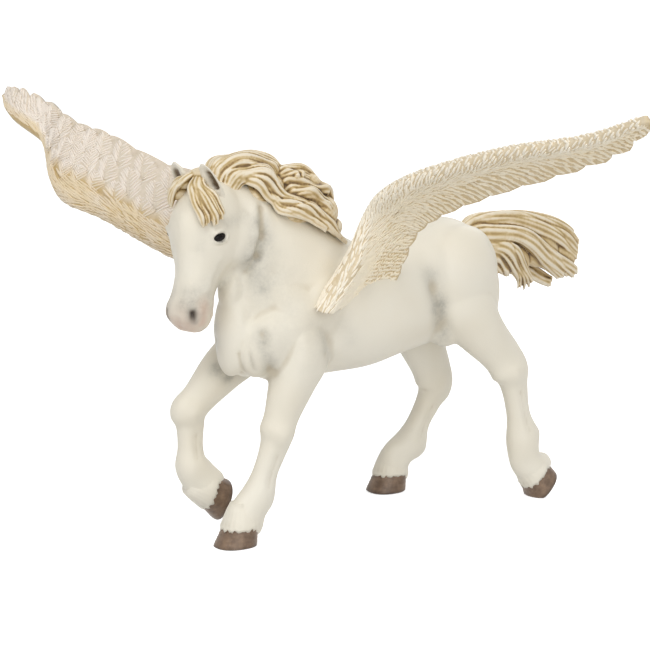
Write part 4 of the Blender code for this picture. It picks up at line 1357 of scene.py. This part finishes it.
tail_bundles = [
    (6, [
        [
            (-42, 0, 86), (-46, 0, 89.2), (-53.3, -1, 90.2), (-64, -2, 89.7), (-75.3, -3.2, 88),
            (-84.5, -4.4, 86), (-91, -5.2, 82.8), (-95.8, -6, 78.6),
        ],
        [
            (-42, 1.5, 85), (-47, 1.2, 87.6), (-54, 1, 87.8), (-64.7, 0, 86.8), (-76, -1.5, 83.4),
            (-85, -3, 79), (-91, -4.4, 75), (-97, -6.2, 71.6),
        ],
    ]),
    (7, [
        [
            (-42, 2, 84), (-47, 2, 86.2), (-53, 2.2, 85.8), (-62.3, 1.8, 84.2), (-71.4, 0.8, 81.4),
            (-80, -1, 76.6), (-88, -3, 71.6), (-95.4, -5.4, 67.6),
        ],
        [
            (-42.5, 2.2, 82), (-48, 2.8, 83.4), (-57, 3.2, 83), (-65, 2.2, 81.2), (-72, 0.7, 77.6),
            (-78, -1.6, 72.4), (-84.6, -3.8, 68), (-91, -5.4, 64.4),
        ],
    ]),
    (5, [
        [
            (-43, 2, 81), (-48.4, 2.6, 81.8), (-57, 3.4, 81.2), (-63.3, 2.4, 78.2), (-68, 0.4, 73.3),
            (-72.4, -1.8, 68.8), (-75.6, -3.4, 65.4),
        ],
        [
            (-43, 1.6, 79.6), (-49, 2.2, 80), (-55, 2.6, 79), (-60, 2, 76), (-64, 0.2, 72),
            (-67.4, -1.6, 68), (-69, -3.2, 63.8),
        ],
    ]),
    (3, [
        [(-44, 1, 79), (-50, 1.6, 78.4), (-55, 2, 77), (-58.6, 1, 74.6), (-61.5, 0, 72), (-63.2, -1, 70)],
        [
            (-44, 0.5, 78), (-49, 1, 77.2), (-52.6, 1, 75.4), (-55.4, 0.4, 73.6), (-57.4, -0.4, 72),
            (-58.8, -1, 70.6),
        ],
    ]),
    (7, [
        [
            (-42, -1.5, 86), (-50, -3, 88.4), (-61, -5, 88.2), (-73, -6.6, 86.6), (-83, -8, 83),
            (-90, -9, 78), (-95, -9, 73),
        ],
        [
            (-43, -2, 83), (-52, -4.4, 84), (-63, -6, 82), (-74, -8, 78), (-82, -9, 73.5),
            (-89, -9, 69.4), (-93, -8.5, 66),
        ],
        [
            (-43, -1.5, 80.5), (-52, -3, 80.6), (-61, -4.6, 77.6), (-69, -6.6, 73), (-75.6, -8, 69),
            (-81, -8.4, 66), (-86, -8, 64.4),
        ],
    ]),
]
tail_hearts = [
    ((-50, -0.5, 84.5), (9, 2.6, 4), 0), ((-62, -1.6, 83.5), (10, 3.4, 5.4), -0.25),
    ((-75, -3.6, 78.6), (11, 3.6, 7), -0.45),
    ((-87, -5.6, 73.8), (8, 2.8, 6.6), -0.6), ((-58, -0.6, 78), (8, 2.6, 3.6), -0.5),
    ((-66, -1.8, 75), (7, 2.8, 5), -0.8),
]
forelock_bundles = [
    (8, [
        [(-3, 3.6, 1.6), (-0.4, 6, 3.8), (1.6, 5.8, 6.2), (3.8, 4.2, 8.2), (6.6, 2.4, 9.4), (9, 1.2, 9.8)],
        [(-3, 4, 0.8), (0.6, 7, 2.4), (3, 7.2, 4.4), (6, 6, 6.6), (9, 4.4, 8), (11.4, 3.4, 8.4)],
        [(-3, 4, 0), (1.2, 7.4, 0.8), (4, 8.2, 2.2), (6.8, 8.2, 3.9), (10, 7.2, 5.6), (12.6, 6.4, 6.4)],
    ]),
    (7, [
        [(-3, 4, -0.6), (-0.2, 6.8, -2.4), (1.6, 7.2, -4.4), (4, 6.4, -6.2), (6.4, 5, -7.4), (8, 4, -7.8)],
        [(-3.2, 3.4, -1.6), (-1.4, 5.4, -3.8), (0, 5.2, -6.0), (2, 4.2, -8), (4.4, 2.8, -9), (6, 2, -9.2)],
    ]),
]
forelock_hearts = [
    ((-2.6, 2.6, 0.2), (3.2, 4.6, 2.4), 0), ((1.4, 5, 3.4), (2, 2.6, 1.7), 0),
    ((0, 4.8, -4), (2.4, 3, 1.8), 0), ((2.8, 3.4, -6.4), (3.4, 3, 2.2), 0),
]


def hair_guides(name, bundles, width, tip, broad, waves, seed, place=None):
    """A mesh of paths, one to each lock, with the girth and the broad side of the lock at each point.

    The tip is the share of its width that a lock has left at its end.
    """
    random = np.random.default_rng(seed)
    points, edges, girths = [], [], []
    for count, guides in bundles:
        guides = np.array([[place(*spot) for spot in guide] if place else guide for guide in guides], float)
        lines = guides.transpose(1, 0, 2)
        for index in range(count):
            across = np.clip((index + random.uniform(-0.2, 0.2)) / (count - 1), 0, 1)
            path = smooth_rows([at_share(line, across) for line in lines], 6)
            share = np.linspace(0, 1, len(path))
            phase = across * 2.6 + random.uniform(-0.4, 0.4)
            swing = waves * np.sin(share * 15 + phase) * np.minimum(share * 3, 1)
            path[:, 2] += swing
            path[:, 1] += swing * 0.6 + random.uniform(-0.3, 0.5) * share
            cut = random.uniform(0.9, 1.0)
            path = np.array([at_share(path, s * cut) for s in share])
            size = width * random.uniform(0.7, 1.3)
            size = size * np.interp(share, (0, 0.15, 0.5, 0.85, 1), (0.75, 0.95, 1.1, 0.95, tip))
            size *= 1 + 0.14 * np.sin(share * 12 + random.uniform(0, 6))
            first = len(points)
            points.extend(path)
            girths.extend(size)
            edges.extend((first + step, first + step + 1) for step in range(len(path) - 1))
    mesh = bpy.data.meshes.new(name)
    mesh.from_pydata((np.array(points) * MM).tolist(), edges, [])
    mark(mesh, "girth", np.array(girths) * MM)
    mark_ways(mesh, "broad", np.tile(broad, len(points)))
    return mesh


def melted(name, mesh, voxel, rounds):
    """One skin over the whole of a mesh, softened."""
    whole = link(name, mesh)
    melt = whole.modifiers.new("melt", "REMESH")
    melt.mode = "VOXEL"
    melt.voxel_size = voxel * MM
    soften = whole.modifiers.new("soften", "SMOOTH")
    soften.factor = 0.5
    soften.iterations = rounds
    graph = bpy.context.evaluated_depsgraph_get()
    made = bpy.data.meshes.new_from_object(whole.evaluated_get(graph))
    bpy.data.objects.remove(whole)
    return made


def hair_mass(name, guides, hearts, voxel, place=None):
    """Locks and the mass under them, sculpted as one."""
    tree = lock_tree(name + "_locks")
    values = {
        "Sides": lock_sides,
        "Strands": lock_strands,
        "Strand Depth": strand_depth,
        "Flatness": lock_flatness,
    }
    locks = grown(name, guides, tree, values)
    forms = []
    for centre, radii, pitch in hearts:
        forms.append(lump(place(*centre) if place else centre, radii, pitch))
    work = bmesh.new()
    work.from_mesh(locks)
    work.from_mesh(mesh_of(name + "_heart", *gather(forms)))
    whole = bpy.data.meshes.new(name)
    work.to_mesh(whole)
    work.free()
    return melted(name, whole, voxel, hair_softening)


def ear_mesh():
    """Both ears: leaves that stand on the head, cupped towards the front."""
    forms, inner = [], []
    for side in (1, -1):
        rows = np.linspace(-0.25, 1, 22)
        loops = []
        for share in rows:
            spread = np.interp(share, (-0.25, 0, 0.3, 0.6, 0.85, 1), (0.6, 0.8, 1.0, 0.92, 0.66, 0.16))
            depth = np.interp(share, (-0.25, 0, 0.3, 0.6, 0.85, 1), (0.9, 0.95, 0.9, 0.75, 0.55, 0.14))
            loop = []
            for turn in np.arange(36) * math.tau / 36:
                ahead, across = math.cos(turn), ear_width / 2 * spread * math.sin(turn)
                facing = max(math.cos(turn - side * 0.35), 0)
                cup = 1 - 1.5 * facing**4 * np.interp(share, (0, 0.15, 0.7, 0.95), (0, 1, 1, 0))
                reach = ear_width * 0.36 * depth * ahead * (cup if ahead > 0 else 1)
                outward = side * (5.6 - 0.7 * share) + across
                loop.append(head_place(1.5 - ear_length * share * 0.94, 1.2 + 7.8 * share + reach, outward))
                inner.append(facing**4 * np.interp(share, (0.0, 0.12, 0.7, 0.88), (0, 1, 1, 0)))
            loops.append(loop)
        forms.append(loft(loops))
        inner.extend((0, 0))
    points, faces = gather(forms)
    mesh = mesh_of("ears", points, faces)
    mark(mesh, "inside", np.clip(np.array(inner) * 2.2 - 1.0, 0, 1))
    return mesh


def hoof_ways(pitch):
    """The way down and the way ahead of a hoof with its sole at this pitch."""
    cos, sin = math.cos(pitch), math.sin(pitch)
    return np.array((-sin, 0, -cos)), np.array((cos, 0, -sin))


def hoof_mesh():
    """Four hooves: slanted ahead and flared to the ground, with faint rings of growth."""
    shares = [-0.12, 0.0, *np.linspace(0.08, 0.9, 16), 0.95, 0.985, 1.0]
    forms, dark = [], []
    for joints, pitch in legs.values():
        down, ahead = hoof_ways(pitch)
        loops = []
        for share in shares:
            slant = np.interp(share, (0, 0.5, 0.93), (0, 0.08, 0.15))
            spread = np.interp(share, (-0.12, 0, 0.5, 0.93, 1.0), (0.72, 0.8, 0.9, 1.0, 0.97))
            spread *= 1 + 0.008 * math.sin(share * 34) - 0.04 * max(share - 0.95, 0) / 0.05
            centre = np.array(joints[-1]) + down * hoof_height * share + ahead * hoof_length * slant
            toe = ahead * hoof_length * 0.54 * spread
            heel = -ahead * hoof_length * 0.46 * spread
            aside = np.array((0, hoof_width * spread / 2, 0))
            loops.append(oval(centre, toe, heel, aside, 48, 0.86))
            # Painted shade, darkest under the hair at the top and down at the ground, leaves a painted
            # highlight across the middle of each hoof
            dark.extend([np.interp(share, (0, 0.2, 0.8, 1), (0.5, 0.05, 0.1, 0.8))] * 48)
        forms.append(loft(loops))
        dark.extend((0.5, 1.0))
    points, faces = gather(forms)
    points[:, 2] = np.maximum(points[:, 2], 0)
    mesh = mesh_of("hooves", points, faces)
    mark(mesh, "dark", dark)
    return mesh


def cuff_mesh():
    """The hair over the top of each hoof, with a ragged lower edge."""
    random = np.random.default_rng(3)
    # How far down the hair each row lies, and its girth as a share of the hoof's
    rows = ((-0.9, 0.50), (-0.55, 0.68), (-0.25, 0.81), (-0.05, 0.88), (0.4, 0.92), (1.0, 0.90), (0.9, 0.78))
    aside = np.array((0, hoof_width / 2, 0))
    sides = 72
    turn = np.arange(sides) * math.tau / sides
    ridge = 1 + 0.012 * np.cos(turn * 24)
    forms = []
    for joints, pitch in legs.values():
        down, ahead = hoof_ways(pitch)
        ragged = 0.10 + 0.10 * np.abs(np.sin(turn * 7 + 0.5)) + random.uniform(0, 0.09, sides)
        ragged += 0.16 * (np.cos(turn) < -0.5)
        rim = oval(np.zeros(3), ahead * hoof_length * 0.54, -ahead * hoof_length * 0.44, aside, sides, 0.9)
        loops = []
        for share, spread in rows:
            level = share if share < 0 else ragged * share
            slant = np.interp(level, (0, 0.5), (0, 0.08))
            centre = joints[-1] + np.multiply.outer(np.broadcast_to(level, sides) * hoof_height, down)
            centre = centre + np.multiply.outer(np.broadcast_to(slant, sides) * hoof_length, ahead)
            loops.append(centre + rim * (spread * ridge)[:, None])
        forms.append(loft(loops))
    points, faces = gather(forms)
    points[:, 2] = np.maximum(points[:, 2], 0.2)
    return mesh_of("fetlock_hair", points, faces)


def eye_mesh():
    forms = []
    for side in (1, -1):
        points, faces = lump((0, 0, 0), (2.05, 1.1, 1.3), 0, 32)
        forms.append((np.array([eye_place(side, x, z, y * side - 0.3) for x, y, z in points]), faces))
    points, faces = gather(forms)
    return mesh_of("eyes", points, faces)


def seat(name, mesh, finish):
    """Moves a mesh onto the solid model, keeps it inside its box, and lets it stand for the model's node."""
    points = read_points(mesh) + plan_shift
    low, high = (np.array(corner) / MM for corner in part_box("pegasus"))
    write_points(mesh, np.clip(points, low, high))
    mesh.materials.clear()
    mesh.materials.append(finish)
    mesh.polygons.foreach_set("use_smooth", [True] * len(mesh.polygons))
    piece = link(name, mesh)
    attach(piece, "root")
    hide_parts("pegasus")
    return piece


def tree_of(meshes):
    """One search tree over several meshes."""
    points, faces = [], []
    for mesh in meshes:
        first = len(points)
        points.extend(vertex.co.copy() for vertex in mesh.vertices)
        faces.extend([first + corner for corner in face.vertices] for face in mesh.polygons)
    return BVHTree.FromPolygons(points, faces)


def groove_of(mesh, rounds, depth, floor=0.0):
    """Grooves as a strength from 0 to 1, where depth is the hollow that is coloured most."""
    return np.clip((hollows(mesh, rounds) - floor) / depth, 0, 1)


def dress():
    skin, horn, hair = body_paint(), hoof_paint(), hair_paint()
    body = body_mesh()
    points = read_points(body)
    mark(body, "shade", airbrush_and_painted_shade(points))
    mark(body, "pink", lip_shade(points))
    mark(body, "groove", 0.55 * groove_of(body, 4, 0.12, 0.03))
    seat("body", body, skin)
    seat("ears", ear_mesh(), ear_paint())
    cuffs = cuff_mesh()
    for label in ("shade", "dark", "pink"):
        mark(cuffs, label, np.zeros(len(cuffs.vertices)))
    # Darker brown in the hollows of the hair over the hooves
    mark(cuffs, "groove", 0.5 * groove_of(cuffs, 2, 0.1))
    seat("fetlock_hair", cuffs, skin)
    seat("hooves", hoof_mesh(), horn)
    seat("eyes", eye_mesh(), eye_paint())
    dress_wings()

    locks = hair_guides("mane", mane_bundles, 2.8, 0.5, (0.1, 0.8, 0.6), 0.42, 11)
    mane = hair_mass("mane", locks, mane_hearts, hair_voxel)
    locks = hair_guides("forelock", forelock_bundles, 2.1, 0.35, (0.1, 0.9, 0.3), 0.2, 12, head_place)
    forelock = hair_mass("forelock", locks, forelock_hearts, hair_voxel * 0.8, head_place)
    locks = hair_guides("tail", tail_bundles, 3.5, 0.8, (0.1, 0.6, 0.8), 0.25, 13)
    tail = hair_mass("tail", locks, tail_hearts, hair_voxel)
    tree = tree_of([mane, forelock, tail])
    for name, mesh in (("mane", mane), ("forelock", forelock), ("tail", tail)):
        mark(mesh, "groove", groove_of(mesh, 6, 0.16, -0.05))
        # Painted shade between the locks, where short rays meet other hair
        mark(mesh, "deep", shelter(mesh, tree, 3.0, 6))
        seat(name, mesh, hair)


def dress_wings():
    barbs = barb_tree()
    width, height = barb_width * MM, barb_height * MM
    for index, name in enumerate(("left_wing", "right_wing")):
        finish = wing_paint(name)
        warmth = wing_warmth[name]
        blade = wing_mesh(name)
        round_rows = np.concatenate([wing_rows, wing_rows[::-1]])
        rows = np.tile(round_rows, (len(blade.vertices) - 2) // len(round_rows))
        mark(blade, "warm", np.interp(np.concatenate([rows, (0.5, 0.5)]), *warmth))
        mark(blade, "groove", 0.62 + 0.38 * groove_of(blade, 2, 0.2))
        seat(name, blade, finish)
        for face, label in enumerate(("_upper_barbs", "_lower_barbs")):
            guides = barb_guides(name, face, 20 + 2 * index + face)
            values = {"Width": width, "Height": height, "Seed": 7 + face, "Finish": finish}
            ridges = grown(name + label, guides, barbs, values)
            rows = np.empty(len(ridges.vertices), np.float32)
            ridges.attributes["row"].data.foreach_get("value", rows)
            mark(ridges, "warm", 0.65 * np.interp(rows, *warmth))
            mark(ridges, "groove", np.zeros(len(rows)))
            seat(name + label, ridges, finish)


def light(name, place, size, power):
    lamp = bpy.data.lights.new(name, "AREA")
    lamp.shape = "DISK"
    lamp.size = size
    lamp.energy = power
    made = bpy.data.objects.new(name, lamp)
    made.location = place
    made.rotation_euler = (Vector(lamp_aim) - Vector(place)).to_track_quat("-Z", "Y").to_euler()
    bpy.context.scene.collection.objects.link(made)


def shown_directly(wires):
    """1 where the camera sees a surface, straight or in a mirror, and 0 where it only gives light."""
    seen = wires.node("ShaderNodeLightPath").outputs
    shown = wires.wire(seen["Is Camera Ray"])
    for kind in ("Is Glossy Ray", "Is Transmission Ray"):
        shown = shown.or_greater(seen[kind])
    return shown


def studio():
    """A pale floor, a white surround, soft lamps and the camera of the photograph."""
    scene = bpy.context.scene
    world = bpy.data.worlds.new("surround")
    scene.world = world
    world.use_nodes = True
    wires = Wires(world.node_tree)
    background = world.node_tree.nodes["Background"]
    background.inputs["Color"].default_value = (1, 1, 1, 1)
    wires.join(background.inputs["Strength"], surround_light + shown_directly(wires) * (1 - surround_light))

    signs = ((-1, -1), (1, -1), (1, 1), (-1, 1))
    corners = [(across * floor_reach, ahead * floor_reach, -floor_drop) for across, ahead in signs]
    floor = link("floor", mesh_of("floor", corners, [(0, 1, 2, 3)]))
    made, wires, shader = paint("floor_white", (0.7, 0.7, 0.7), 0.9)
    bright = wires.node(
        "ShaderNodeBsdfPrincipled",
        {},
        Base_Color=(0.9, 0.9, 0.9, 1),
        Roughness=0.9,
        Emission_Color=(1, 1, 1, 1),
        Emission_Strength=0.70,
    )
    shown = shown_directly(wires)
    mix = wires.node("ShaderNodeMixShader", {}, Fac=shown, i1=shader.outputs[0], i2=bright.outputs[0])
    output = made.node_tree.nodes["Material Output"]
    wires.join(output.inputs["Surface"], mix.outputs[0])
    floor.data.materials.append(made)

    for name, (place, size, power) in lamps.items():
        light(name, place, size, power)

    camera = bpy.data.cameras.new("camera")
    camera.lens = camera_lens
    camera.sensor_width = 36
    camera.clip_start = 0.01
    camera.clip_end = 20
    held = bpy.data.objects.new("camera", camera)
    held.location = (camera_place + plan_shift) * MM
    held.rotation_euler = Vector((camera_target - camera_place) * MM).to_track_quat("-Z", "Y").to_euler()
    scene.collection.objects.link(held)
    scene.camera = held
    scene.view_settings.view_transform = "Standard"


dress()
studio()
